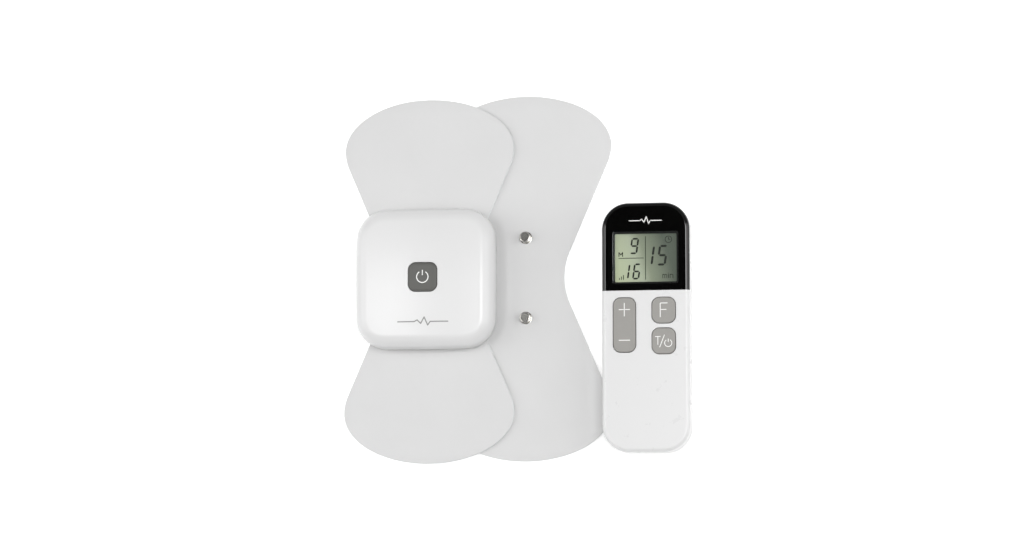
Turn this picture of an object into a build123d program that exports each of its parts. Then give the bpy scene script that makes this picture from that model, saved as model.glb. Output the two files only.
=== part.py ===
from build123d import *
import math
import os

# A wireless muscle-stimulator kit as it lies on a table: two hourglass electrode pads, one lapped over the
# other, a square receiver snapped to the front pad, and a battery remote whose rounded flank overhangs the
# spare pad. Millimetres, +Z up, +Y towards the pads' upper lobes. The origin is the centre of the kit's
# bounding box, on the table.

# ---- electrode pads ----
PAD_LENGTH = 182.0
PAD_WIDTH = 85.5
PAD_WAIST = 38.5
PAD_CROWN = 25.0  # height of the elliptical crown of each lobe
PAD_WAIST_ROUND = 33.0
PAD_SHOULDER_ROUND = 22.5
LINER_THICKNESS = 0.2
GEL_THICKNESS = 0.8
FILM_THICKNESS = 0.15
COVER_THICKNESS = 0.5
GEL_INSET = 0.4
FILM_INSET = 2.5
ELECTRODE_GAP = 14.0  # bare strip between the upper and lower electrodes

# ---- snap fasteners ----
SNAP_SPACING = 40.0
STUD_HEAD_RADIUS = 2.6
STUD_HEAD_ROUND = 0.4
STUD_NECK_RADIUS = 2.05
STUD_BASE_RADIUS = 3.1
STUD_BASE_HEIGHT = 0.25
STUD_NECK_TOP = 1.5
STUD_HEIGHT = 4.0
EYELET_RADIUS = 4.2
EYELET_THICKNESS = 0.3
POST_RADIUS = 1.3
POST_ABOVE_COVER = 2.0
SOCKET_WALL = 1.3
SOCKET_FLANGE = 1.2
SOCKET_FLANGE_THICKNESS = 0.5
SNAP_WIRE = 0.6
SNAP_GRIP = 0.22  # how far the ring spring closes in over the stud's head

# ---- kit layout ----
LOBE_OVERLAP = 36.9  # how far the front pad laps over the spare pad
LAP_CLEARANCE = 0.05
SPARE_SHIFT_Y = 0.8
REMOTE_SHIFT_Y = -26.5
TUCK_CLEARANCE = 0.25  # between the spare pad's edge and the remote's flank
DRAPE_START = -40.0  # where the front pad leaves the table, from its centre line
DRAPE_END = -11.0
DRAPE_ROUND = 60.0

# ---- receiver ----
RECEIVER_SIDE = 69.5
RECEIVER_BOW = 0.6  # how far each side bulges past its corners
RECEIVER_HEIGHT = 17.0
RECEIVER_CORNER = 15.0
RECEIVER_TOP_ROUND = 7.0
RECEIVER_CROWN = 320.0  # radius of the top's shallow dome
RECEIVER_BOTTOM_ROUND = 2.5
RECEIVER_SPLIT = 5.5
RECEIVER_WALL = 2.0
RECEIVER_GAP = 0.3  # between the receiver's base and the pad
RECEIVER_SCREW_OFFSET = 22.5
RECEIVER_BOARD_SIDE = 55.0
RECEIVER_BOARD_CORNER = 10.0
RECEIVER_BOARD_LEVEL = 6.2
CELL_SIZE = (38.0, 24.0, 3.5)
TAPE_THICKNESS = 0.3
PORT_SIZE = (8.94, 7.3, 3.26)
PORT_RECESS = 0.3  # how far the port's mouth stands in from the flank
PORT_SHELL = 0.3
PORT_TONGUE = (6.7, 5.0, 0.7)

# ---- receiver key ----
POWER_KEY_SIDE = 14.2
POWER_KEY_CORNER = 3.6
POWER_KEY_PROUD = 0.5
POWER_KEY_BEVEL = 0.35
POWER_KEY_TRAVEL = 0.5
POWER_STEM_RADIUS = 1.8
SWITCH_SIDE = 6.0
SWITCH_HEIGHT = 3.5
PLUNGER_RADIUS = 1.6
PLUNGER_PROUD = 0.9
PLUNGER_DEPTH = 1.7

# ---- remote ----
REMOTE_WIDTH = 43.0
REMOTE_LENGTH = 122.0
REMOTE_HEIGHT = 20.0
REMOTE_CORNER = 13.0
REMOTE_FLANK_ROUND = 8.0
REMOTE_FACE_ROUND = 1.9
REMOTE_SPLIT = 9.5
REMOTE_WALL = 2.0
FASCIA_LENGTH = 43.2
FASCIA_THICKNESS = 2.2
LEDGE_THICKNESS = 1.5
WINDOW_SIZE = (30.3, 23.7)
WINDOW_FROM_TOP = 27.1
LENS_STEP = 1.0
LENS_THICKNESS = 1.2
LENS_RECESS = 0.15
LENS_CORNER = 1.1
GASKET_THICKNESS = 0.3
LCD_MARGIN = 2.1
LCD_THICKNESS = 1.7
ZEBRA_SIZE = (30.0, 1.8)
REFLECTOR_THICKNESS = 0.6
REMOTE_BOARD_LEVEL = 13.6
REMOTE_BOARD_WIDTH = 36.0
REMOTE_BOARD_TOP_GAP = 2.0
REMOTE_BOARD_CORNER = 9.0
REMOTE_SCREW_FROM_TOP = 8.5
REMOTE_SCREW_SPREAD = 11.0
REMOTE_SCREW_LENGTH = 9.0
BUZZER_AT = (8.0, 14.0)
BUZZER_RADIUS = 5.0
BUZZER_HEIGHT = 3.0

# ---- remote keys: x and y are measured from the remote's centre ----
LEVEL_KEY_SIZE = (10.9, 26.6)
LEVEL_KEY_AT = (-10.4, 0.9)
SQUARE_KEY_SIZE = (11.4, 12.6)
FUNCTION_KEY_AT = (8.8, 7.9)
TIMER_KEY_AT = (8.8, -7.1)
KEY_CORNER = 3.6
KEY_PROUD = 0.6
KEY_ROUND = 0.45
KEY_CLEARANCE = 0.3
KEY_FLANGE = 1.2
KEY_FLANGE_THICKNESS = 0.75
KEY_TRAVEL = 0.7
PILL_RADIUS = 2.4
LEVEL_PILL_REACH = 9.0
ROCKER_BAR_WIDTH = 2.4  # the rocker pivots on this narrow bar, so it can tip under the face
MAT_THICKNESS = 0.6

# ---- remote battery bay ----
AAA_LENGTH = 44.5
AAA_RADIUS = 5.25
AAA_NUB_LENGTH = 1.0
AAA_NUB_RADIUS = 1.9
BAY_WALL = 1.0
BAY_SLACK = 0.2
BAY_FLOOR_GAP = 0.1
WEB_INSET = 10.0  # of the ribs beside the bay, from its ends
CONTACT_THICKNESS = 0.4
SPRING_LENGTH = 3.7
SPRING_WIRE = 0.5
SPRING_RADIUS = 3.0
DOOR_THICKNESS = 1.8
DOOR_HALF_WIDTH = 12.4
DOOR_CLEARANCE = 0.15
RAIL_HEIGHT = 0.75
RAIL_REACH = 1.2
RAIL_INSET = 6.0  # of the rails, from the door's inner end
GRIP_GROOVES = 4
GRIP_LENGTH = 14.0
GRIP_FROM_BAY = 8.0
GRIP_PITCH = 2.4
GRIP_WIDTH = 1.1
GRIP_DEPTH = 0.45

# ---- common ----
BOARD_THICKNESS = 1.2
CHIP_HEIGHT = 1.1
LIP_HEIGHT = 1.5
LIP_THICKNESS = 0.9
FIT = 0.1
PARTING_GROOVE = 0.25  # fine shadow gap where two cases meet
SCREW_RADIUS = 1.0
SCREW_HEAD_RADIUS = 1.9
SCREW_HEAD_HEIGHT = 1.4
SCREW_CLEARANCE = 0.05
BOSS_WALL = 1.6
CUT = 60.0  # longer than anything it has to cut through

# ---- what follows from the sizes above ----
PAD_THICKNESS = LINER_THICKNESS + GEL_THICKNESS + FILM_THICKNESS + COVER_THICKNESS
FILM_LEVEL = LINER_THICKNESS + GEL_THICKNESS
COVER_LEVEL = FILM_LEVEL + FILM_THICKNESS
LAP_RISE = PAD_THICKNESS + LAP_CLEARANCE
RECEIVER_LEVEL = LAP_RISE + PAD_THICKNESS + RECEIVER_GAP
SNAP_PLACES = [(0, SNAP_SPACING / 2), (0, -SNAP_SPACING / 2)]


def flank_inset(round_radius, distance):
    """How far a rounded edge stands in from the side at a distance from the face that it leads to."""
    drop = max(round_radius - distance, 0)
    return round_radius - math.sqrt(round_radius**2 - drop**2)


REMOTE_TUCK = flank_inset(REMOTE_FLANK_ROUND, PAD_THICKNESS + TUCK_CLEARANCE) - TUCK_CLEARANCE
SPARE_FROM_FRONT = PAD_WIDTH - LOBE_OVERLAP
REMOTE_FROM_FRONT = SPARE_FROM_FRONT + PAD_WIDTH / 2 - REMOTE_TUCK + REMOTE_WIDTH / 2
FRONT_X = -(REMOTE_FROM_FRONT + REMOTE_WIDTH / 2 - PAD_WIDTH / 2) / 2
SPARE_X = FRONT_X + SPARE_FROM_FRONT
REMOTE_X = FRONT_X + REMOTE_FROM_FRONT
FRONT_Y = -SPARE_SHIFT_Y / 2
SPARE_Y = SPARE_SHIFT_Y / 2


def block(x_low, x_high, y_low, y_high, z_low, z_high):
    """A box between two corners."""
    size = (x_high - x_low, y_high - y_low, z_high - z_low)
    centre = ((x_low + x_high) / 2, (y_low + y_high) / 2, (z_low + z_high) / 2)
    return Pos(*centre) * Box(*size)


def rod(place, radius, z_low, z_high):
    """An upright cylinder between two heights."""
    return Pos(place[0], place[1], (z_low + z_high) / 2) * Cylinder(radius, z_high - z_low)


def plate(width, length, corner, z_low, z_high, place=(0, 0)):
    """A rounded rectangular plate between two heights."""
    face = Pos(place[0], place[1], z_low) * RectangleRounded(width, length, corner)
    return extrude(face, z_high - z_low)


def merged(shapes):
    """Several shapes as one part."""
    shapes = list(shapes)
    whole = shapes[0]
    for shape in shapes[1:]:
        whole = whole + shape
    return whole


def group(shapes):
    """Separate solids kept side by side in one part."""
    return Compound([solid for shape in shapes for solid in shape.solids()])


# ---------------------------------------------------------------- electrode pads
def pad_outline(inset=0.0):
    """The hourglass outline: an elliptical crown on each lobe, straight flanks, and an arc at the waist."""
    half_width = PAD_WIDTH / 2 - inset
    half_waist = PAD_WAIST / 2 - inset
    waist_round = PAD_WAIST_ROUND + inset
    shoulder_round = PAD_SHOULDER_ROUND - inset
    lobe_y = PAD_LENGTH / 2 - PAD_CROWN
    waist_centre = Vector(half_waist + waist_round, 0)
    shoulder_centre = Vector(half_width - shoulder_round, lobe_y)
    across = shoulder_centre - waist_centre
    lean = math.atan2(across.Y, across.X) + math.acos((waist_round + shoulder_round) / across.length)
    normal = Vector(math.cos(lean), math.sin(lean))
    flank_low = waist_centre + normal * waist_round
    flank_high = shoulder_centre - normal * shoulder_round
    half_turn = (lean - math.pi) / 2
    shoulder_middle = shoulder_centre + Vector(math.cos(half_turn), math.sin(half_turn)) * shoulder_round
    waist_turn = (lean + math.pi) / 2
    waist_middle = waist_centre + Vector(math.cos(waist_turn), math.sin(waist_turn)) * waist_round
    quarter = Curve() + [
        ThreePointArc((half_waist, 0), waist_middle, flank_low),
        Line(flank_low, flank_high),
        ThreePointArc(flank_high, shoulder_middle, (half_width, lobe_y)),
        EllipticalCenterArc((0, lobe_y), half_width, PAD_CROWN - inset, start_angle=0, arc_size=90),
    ]
    half = quarter + mirror(quarter, Plane.XZ)
    return make_face((half + mirror(half, Plane.YZ)).edges())


def drape_slab(z_low, z_high):
    """A sheet that lies on the table at the left, and rises in an easy bend to lie one pad higher."""
    reach = PAD_WIDTH
    line = FilletPolyline(
        (-reach, 0), (DRAPE_START, 0), (DRAPE_END, LAP_RISE), (reach, LAP_RISE), radius=DRAPE_ROUND
    )
    lower = Pos(0, z_low) * line
    upper = Pos(0, z_high) * line
    ends = [Line(lower @ 0, upper @ 0), Line(lower @ 1, upper @ 1)]
    profile = Plane.XZ * make_face([*lower.edges(), *upper.edges(), *ends])
    return extrude(profile, PAD_LENGTH, both=True)


def pad_layer(outline, z_low, z_high, draped):
    """One sheet of the laminate, cut to an outline, flat or draped."""
    if not draped:
        return extrude(Pos(0, 0, z_low) * outline, z_high - z_low)
    return extrude(outline, z_high + 2 * LAP_RISE) & drape_slab(z_low, z_high)


def electrode_outline(inset, side):
    """The part of the outline that one electrode covers: side is 1 for the upper and -1 for the lower."""
    centre_y = side * (ELECTRODE_GAP / 2 + PAD_LENGTH / 2)
    return pad_outline(inset) & (Pos(0, centre_y) * Rectangle(2 * PAD_WIDTH, PAD_LENGTH))


def snap_stud(place, level):
    """The male snap that stands on the cover, bored for the eyelet's post."""
    top = level + STUD_HEIGHT
    head = rod(place, STUD_HEAD_RADIUS, level + STUD_NECK_TOP, top)
    head = fillet(head.edges().group_by(Axis.Z)[-1], STUD_HEAD_ROUND)
    head = chamfer(head.edges().group_by(Axis.Z)[0], (STUD_HEAD_RADIUS - STUD_NECK_RADIUS) * 0.8)
    base = rod(place, STUD_BASE_RADIUS, level, level + STUD_BASE_HEIGHT)
    neck = rod(place, STUD_NECK_RADIUS, level, level + STUD_NECK_TOP)
    bore = rod(place, POST_RADIUS + SCREW_CLEARANCE, level, level + POST_ABOVE_COVER)
    return merged([base, neck, head]) - bore


def eyelet(place, level):
    """The flanged rivet under the film, whose post goes up into the stud."""
    flange = rod(place, EYELET_RADIUS, level + FILM_LEVEL - EYELET_THICKNESS, level + FILM_LEVEL)
    post = rod(place, POST_RADIUS, level + FILM_LEVEL, level + PAD_THICKNESS + POST_ABOVE_COVER)
    return flange + post


def pad_nodes(prefix, place, draped):
    """Every piece of one pad, at its place in the kit."""
    level = LAP_RISE if draped else 0.0
    post_hole = POST_RADIUS + SCREW_CLEARANCE
    post_holes = merged(rod(at, post_hole, 0, CUT) for at in SNAP_PLACES)
    pocket_low = level + FILM_LEVEL - EYELET_THICKNESS - FIT
    pockets = merged(rod(at, EYELET_RADIUS + FIT, pocket_low, CUT) for at in SNAP_PLACES)
    pieces = {
        "liner": pad_layer(pad_outline(), 0, LINER_THICKNESS, draped),
        "cover": pad_layer(pad_outline(), COVER_LEVEL, PAD_THICKNESS, draped) - post_holes,
        "studs": group(snap_stud(at, level + PAD_THICKNESS) for at in SNAP_PLACES),
        "eyelets": group(eyelet(at, level) for at in SNAP_PLACES),
    }
    for name, side in (("upper", 1), ("lower", -1)):
        gel = pad_layer(electrode_outline(GEL_INSET, side), LINER_THICKNESS, FILM_LEVEL, draped)
        film = pad_layer(electrode_outline(FILM_INSET, side), FILM_LEVEL, COVER_LEVEL, draped)
        pieces[f"{name}_gel"] = gel - pockets
        pieces[f"{name}_film"] = film - post_holes
    return {f"{prefix}_{name}": Pos(*place) * piece for name, piece in pieces.items()}


# ---------------------------------------------------------------- shared case details
def lip(outline, wall, split, clearance):
    """The tongue on a lower case that locates the upper one; clearance grows it for the recess."""
    outer = outline(wall - LIP_THICKNESS - clearance)
    ring = extrude(Pos(0, 0, split) * outer, LIP_HEIGHT + clearance)
    return ring - extrude(Pos(0, 0, split) * outline(wall), LIP_HEIGHT + clearance)


def parting_groove(outline, level):
    """The shallow step that is cut round an upper case just above the split."""
    room = extrude(Pos(0, 0, level) * outline(-1.0), PARTING_GROOVE)
    return room - extrude(Pos(0, 0, level) * outline(PARTING_GROOVE), PARTING_GROOVE)


def screw(place, head_level, tip_level):
    """A pan-head screw driven upwards from below."""
    head = rod(place, SCREW_HEAD_RADIUS, head_level - SCREW_HEAD_HEIGHT, head_level)
    slot_depth = SCREW_HEAD_HEIGHT * 0.4
    drive = rod(place, SCREW_RADIUS * 0.8, head_level - SCREW_HEAD_HEIGHT, head_level - slot_depth * 1.5)
    return head - drive + rod(place, SCREW_RADIUS, head_level, tip_level)


def screw_way(place, head_level, tip_level):
    """The room that a screw needs: a counterbore for its head and a hole for its shank."""
    mouth = rod(place, SCREW_HEAD_RADIUS + 2 * FIT, -CUT, head_level)
    return mouth + rod(place, SCREW_RADIUS + SCREW_CLEARANCE, head_level, tip_level)


def bent_strip(points, thickness, width):
    """A flat metal strip, bent along points of x and z, centred on y."""
    lower = Polyline(*points)
    upper = Pos(0, thickness) * lower
    ends = [Line(lower @ 0, upper @ 0), Line(lower @ 1, upper @ 1)]
    profile = Plane.XZ * make_face([*lower.edges(), *upper.edges(), *ends])
    return extrude(profile, width / 2, both=True)


# ---------------------------------------------------------------- receiver
RECEIVER_SCREW_HEAD = 2.6
RECEIVER_SCREW_TIP = 11.0
RECEIVER_BOARD_TOP = RECEIVER_BOARD_LEVEL + BOARD_THICKNESS
RECEIVER_CEILING = RECEIVER_HEIGHT - RECEIVER_WALL
POWER_FLANGE_SIDE = POWER_KEY_SIDE + 2 * KEY_CLEARANCE + 2 * KEY_FLANGE
RECEIVER_SCREW_PLACES = [
    (x * RECEIVER_SCREW_OFFSET, y * RECEIVER_SCREW_OFFSET) for x in (-1, 1) for y in (-1, 1)
]
SOCKET_BORE = STUD_HEAD_RADIUS + 2 * FIT
SOCKET_OUTER = SOCKET_BORE + SOCKET_WALL
SOCKET_TOP = STUD_HEIGHT - RECEIVER_GAP + 0.9
SPRING_RING_OUTER = STUD_HEAD_RADIUS - SNAP_GRIP + SNAP_WIRE
SPRING_RING_Z = STUD_NECK_TOP - RECEIVER_GAP - SNAP_WIRE / 2 - FIT
PORT_CENTRE_Z = RECEIVER_BOARD_TOP + PORT_SIZE[2] / 2
PORT_BELOW_TOP = RECEIVER_HEIGHT - RECEIVER_BOARD_TOP - PORT_SIZE[2]
PORT_MOUTH_Y = RECEIVER_SIDE / 2 - flank_inset(RECEIVER_TOP_ROUND, PORT_BELOW_TOP) - PORT_RECESS


def receiver_outline(inset):
    """The receiver's softly bowed rounded square, stood in from the outside."""
    middle = RECEIVER_SIDE / 2
    corner = middle - RECEIVER_BOW
    sides = []
    for turn in range(4):
        side = ThreePointArc((corner, -corner), (middle, 0), (corner, corner))
        sides.append(side.rotate(Axis.Z, 90 * turn))
    square = make_face(sides)
    square = fillet(square.vertices(), RECEIVER_CORNER)
    return offset(square, -inset) if inset else square


def receiver_body(inset):
    """The receiver's whole outer form, or its hollow, stood in from the outside, with a shallow domed top."""
    dome = Pos(0, 0, RECEIVER_HEIGHT - RECEIVER_CROWN) * Rot(90, 0, 0) * Sphere(RECEIVER_CROWN - inset)
    body = extrude(Pos(0, 0, inset) * receiver_outline(inset), RECEIVER_HEIGHT) & dome
    body = fillet(body.faces().sort_by(Axis.Z)[-1].edges(), RECEIVER_TOP_ROUND - inset)
    return fillet(body.edges().group_by(Axis.Z)[0], max(RECEIVER_BOTTOM_ROUND - inset, FIT))


def port_form(grow, y_low, y_high):
    """The charging port's rounded section, run along y between two places."""
    width = PORT_SIZE[0] + 2 * grow
    height = PORT_SIZE[2] + 2 * grow
    section = Plane.XZ * Pos(0, PORT_CENTRE_Z) * RectangleRounded(width, height, height / 2 - FIT)
    return Pos(0, y_high, 0) * extrude(section, y_high - y_low)


def receiver_top_case():
    """The upper shell, with the key's opening and flat landing, the port's opening and four screw posts."""
    shell = receiver_body(0) - receiver_body(RECEIVER_WALL)
    shell = shell - block(-CUT, CUT, -CUT, CUT, -CUT, RECEIVER_SPLIT)
    shell = shell - lip(receiver_outline, RECEIVER_WALL, RECEIVER_SPLIT, FIT)
    shell = shell - parting_groove(receiver_outline, RECEIVER_SPLIT)
    post_radius = SCREW_RADIUS + BOSS_WALL
    post_top = RECEIVER_CEILING + FIT
    posts = merged(rod(at, post_radius, RECEIVER_BOARD_TOP, post_top) for at in RECEIVER_SCREW_PLACES)
    way_top = RECEIVER_SCREW_TIP + FIT
    ways = merged(screw_way(at, RECEIVER_SCREW_HEAD, way_top) for at in RECEIVER_SCREW_PLACES)
    opening_side = POWER_KEY_SIDE + 2 * KEY_CLEARANCE
    opening = plate(opening_side, opening_side, POWER_KEY_CORNER + KEY_CLEARANCE, 0, CUT)
    landing_side = POWER_FLANGE_SIDE + 4 * FIT
    landing = plate(landing_side, landing_side, POWER_KEY_CORNER + KEY_FLANGE, 0, RECEIVER_CEILING)
    case = shell + (posts & receiver_body(FIT)) - ways - opening - landing
    return case - port_form(2 * FIT, PORT_MOUTH_Y - PORT_SIZE[1], CUT)


def receiver_bottom_case():
    """The lower shell, with the snap sockets' seats, the screw bosses and the locating lip."""
    shell = receiver_body(0) - receiver_body(RECEIVER_WALL)
    shell = shell - block(-CUT, CUT, -CUT, CUT, RECEIVER_SPLIT, CUT)
    shell = shell + lip(receiver_outline, RECEIVER_WALL, RECEIVER_SPLIT, 0)
    boss_radius = SCREW_HEAD_RADIUS + BOSS_WALL
    bosses = merged(rod(at, boss_radius, FIT, RECEIVER_BOARD_LEVEL) for at in RECEIVER_SCREW_PLACES)
    ways = merged(screw_way(at, RECEIVER_SCREW_HEAD, CUT) for at in RECEIVER_SCREW_PLACES)
    seats = merged(rod(at, SOCKET_OUTER + FIT / 2, -CUT, RECEIVER_WALL) for at in SNAP_PLACES)
    return shell + (bosses & receiver_body(0)) - ways - seats


def snap_socket(place):
    """The female snap: a flanged cup that is grooved inside for its ring spring."""
    flange_low = RECEIVER_WALL
    cup = rod(place, SOCKET_OUTER, 0, SOCKET_TOP)
    flange = rod(place, SOCKET_OUTER + SOCKET_FLANGE, flange_low, flange_low + SOCKET_FLANGE_THICKNESS)
    bore = rod(place, SOCKET_BORE, -CUT, SOCKET_TOP - SOCKET_FLANGE_THICKNESS)
    mouth = rod(place, STUD_BASE_RADIUS + 2 * FIT, -CUT, STUD_BASE_HEIGHT)
    reach = SNAP_WIRE / 2 + FIT / 2
    groove = rod(place, SPRING_RING_OUTER + FIT / 5, SPRING_RING_Z - reach, SPRING_RING_Z + reach)
    return cup + flange - bore - mouth - groove


def snap_spring(place):
    """A split wire ring that closes under the stud's head."""
    middle = SPRING_RING_OUTER - SNAP_WIRE / 2
    ring = Pos(place[0], place[1], SPRING_RING_Z) * Torus(middle, SNAP_WIRE / 2)
    gap = block(place[0], place[0] + 2 * middle, place[1] - SNAP_WIRE, place[1] + SNAP_WIRE, -CUT, CUT)
    return ring - gap


def contact_tab(place):
    """A sprung strip that joins a socket to the underside of the board."""
    thickness = 0.25
    points = [
        (-2.0, SOCKET_TOP),
        (1.5, SOCKET_TOP),
        (5.5, RECEIVER_BOARD_LEVEL - thickness),
        (8.0, RECEIVER_BOARD_LEVEL - thickness),
    ]
    return Pos(place[0], place[1]) * bent_strip(points, thickness, 3.0)


def charging_port():
    """The charging socket: an open metal shell with a tongue inside."""
    back = PORT_MOUTH_Y - PORT_SIZE[1]
    shell = port_form(0, back, PORT_MOUTH_Y) - port_form(-PORT_SHELL, back + PORT_SHELL, PORT_MOUTH_Y)
    half_width = PORT_TONGUE[0] / 2
    half_height = PORT_TONGUE[2] / 2
    low, high = PORT_CENTRE_Z - half_height, PORT_CENTRE_Z + half_height
    return shell + block(-half_width, half_width, back, back + PORT_TONGUE[1], low, high)


def receiver_nodes():
    """Every fixed piece of the receiver, with its base centred on the origin."""
    side = RECEIVER_BOARD_SIDE
    board = plate(side, side, RECEIVER_BOARD_CORNER, RECEIVER_BOARD_LEVEL, RECEIVER_BOARD_TOP)
    board_holes = merged(rod(at, SCREW_RADIUS + FIT, 0, CUT) for at in RECEIVER_SCREW_PLACES)
    tape_low = RECEIVER_WALL
    cell_low = tape_low + TAPE_THICKNESS
    cell_x, cell_y, cell_z = CELL_SIZE
    half_switch = SWITCH_SIDE / 2
    top = RECEIVER_BOARD_TOP
    switch = block(-half_switch, half_switch, -half_switch, half_switch, top, top + SWITCH_HEIGHT)
    plunger_way = rod((0, 0), PLUNGER_RADIUS + FIT, top + 1.0, CUT)
    transformer = block(-20, -11, -5, 4, top, top + 5.4)
    transformer = transformer + block(-21.5, -9.5, -3.5, 2.5, top, top + 1.2)
    chips = [block(9, 16, -4, 3, top, top + CHIP_HEIGHT), block(10, 14, 8, 13, top, top + CHIP_HEIGHT)]
    return {
        "receiver_top_case": receiver_top_case(),
        "receiver_bottom_case": receiver_bottom_case(),
        "receiver_main_board": board - board_holes,
        "receiver_battery_tape": plate(cell_x - 4, cell_y - 4, 1, tape_low, cell_low),
        "receiver_battery_cell": plate(cell_x, cell_y, 2, cell_low, cell_low + cell_z),
        "receiver_power_switch": switch - plunger_way,
        "receiver_charging_port": charging_port(),
        "receiver_snap_sockets": group(snap_socket(at) for at in SNAP_PLACES),
        "receiver_snap_springs": group(snap_spring(at) for at in SNAP_PLACES),
        "receiver_contact_tabs": group(contact_tab(at) for at in SNAP_PLACES),
        "receiver_boost_transformer": transformer,
        "receiver_processor_chips": group(chips),
        "receiver_antenna": block(-4, 4, -24, -21.5, top, top + 1.0),
        "receiver_status_led": block(5, 6.6, 4.6, 5.4, top, top + 0.7),
        "receiver_case_screws": group(
            screw(at, RECEIVER_SCREW_HEAD, RECEIVER_SCREW_TIP) for at in RECEIVER_SCREW_PLACES
        ),
    }


def power_key_nodes():
    """The receiver's key, with its retaining flange and stem, and the switch plunger that it presses."""
    flange_top = RECEIVER_CEILING - FIT
    flange_low = flange_top - KEY_FLANGE_THICKNESS
    bevel_low = RECEIVER_HEIGHT + POWER_KEY_PROUD - POWER_KEY_BEVEL
    side = POWER_KEY_SIDE
    cap = plate(side, side, POWER_KEY_CORNER, flange_top, bevel_low)
    crown = Pos(0, 0, bevel_low) * RectangleRounded(side, side, POWER_KEY_CORNER)
    cap = cap + extrude(crown, POWER_KEY_BEVEL, taper=72)
    wide = POWER_FLANGE_SIDE
    flange = plate(wide, wide, POWER_KEY_CORNER + KEY_FLANGE, flange_low, flange_top)
    plunger_top = RECEIVER_BOARD_TOP + SWITCH_HEIGHT + PLUNGER_PROUD
    plunger_low = plunger_top - PLUNGER_PROUD - PLUNGER_DEPTH
    stem = rod((0, 0), POWER_STEM_RADIUS, plunger_top, flange_low)
    return {
        "power_key_cap": merged([cap, flange, stem]),
        "power_switch_plunger": rod((0, 0), PLUNGER_RADIUS, plunger_low, plunger_top),
    }


# ---------------------------------------------------------------- remote
REMOTE_CEILING = REMOTE_HEIGHT - REMOTE_WALL
FASCIA_LOW = REMOTE_HEIGHT - FASCIA_THICKNESS
FASCIA_EDGE_Y = REMOTE_LENGTH / 2 - FASCIA_LENGTH
LEDGE_LOW = FASCIA_LOW - LEDGE_THICKNESS
WINDOW_Y = REMOTE_LENGTH / 2 - WINDOW_FROM_TOP
WINDOW_CENTRE = (0, WINDOW_Y)
LCD_TOP = FASCIA_LOW - GASKET_THICKNESS
LCD_LOW = LCD_TOP - LCD_THICKNESS
LCD_SIZE = (WINDOW_SIZE[0] + 2 * LCD_MARGIN, WINDOW_SIZE[1] + 2 * LCD_MARGIN + 2)
REMOTE_BOARD_TOP = REMOTE_BOARD_LEVEL + BOARD_THICKNESS
REMOTE_SCREW_HEAD = 7.4
REMOTE_SCREW_TIP = REMOTE_SCREW_HEAD + REMOTE_SCREW_LENGTH
MIDDLE_POST_X = -0.95
REMOTE_SCREW_PLACES = [
    (-REMOTE_SCREW_SPREAD, REMOTE_LENGTH / 2 - REMOTE_SCREW_FROM_TOP),
    (REMOTE_SCREW_SPREAD, REMOTE_LENGTH / 2 - REMOTE_SCREW_FROM_TOP),
    (MIDDLE_POST_X, 0),
]
CELL_Z = DOOR_THICKNESS + BAY_FLOOR_GAP + AAA_RADIUS
BAY_HALF_WIDTH = 2 * AAA_RADIUS + BAY_SLACK + FIT
BAY_LOW_Y = -REMOTE_LENGTH / 2 + REMOTE_FLANK_ROUND - BAY_WALL
BAY_LENGTH = AAA_LENGTH + SPRING_LENGTH + 2 * CONTACT_THICKNESS
BAY_HIGH_Y = BAY_LOW_Y + BAY_LENGTH
BAY_ROOF_LOW = CELL_Z + AAA_RADIUS + BAY_SLACK
BAY_ROOF_HIGH = REMOTE_BOARD_LEVEL - BAY_SLACK
BAY_CLEAR_Z = DOOR_THICKNESS + RAIL_HEIGHT + RAIL_HEIGHT / 2 + 2 * DOOR_CLEARANCE
DOOR_TOP_Y = BAY_HIGH_Y + BAY_WALL
RAIL_LOW = REMOTE_WALL + FIT
RAIL_TOP = RAIL_LOW + RAIL_HEIGHT


def remote_outline(inset):
    """The remote's rounded rectangle, stood in from the outside."""
    return RectangleRounded(REMOTE_WIDTH - 2 * inset, REMOTE_LENGTH - 2 * inset, REMOTE_CORNER - inset)


def remote_body(inset):
    """The remote's whole outer form, or its hollow: deeply rounded along the back, slightly on the face."""
    body = extrude(Pos(0, 0, inset) * remote_outline(inset), REMOTE_HEIGHT - 2 * inset)
    body = fillet(body.edges().group_by(Axis.Z)[0], REMOTE_FLANK_ROUND - inset)
    return fillet(body.edges().group_by(Axis.Z)[-1], max(REMOTE_FACE_ROUND - inset, FIT))


def key_opening(size, place):
    """The hole in the face for a key."""
    grow = 2 * KEY_CLEARANCE
    return plate(size[0] + grow, size[1] + grow, KEY_CORNER + KEY_CLEARANCE, REMOTE_BOARD_TOP, CUT, place)


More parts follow.
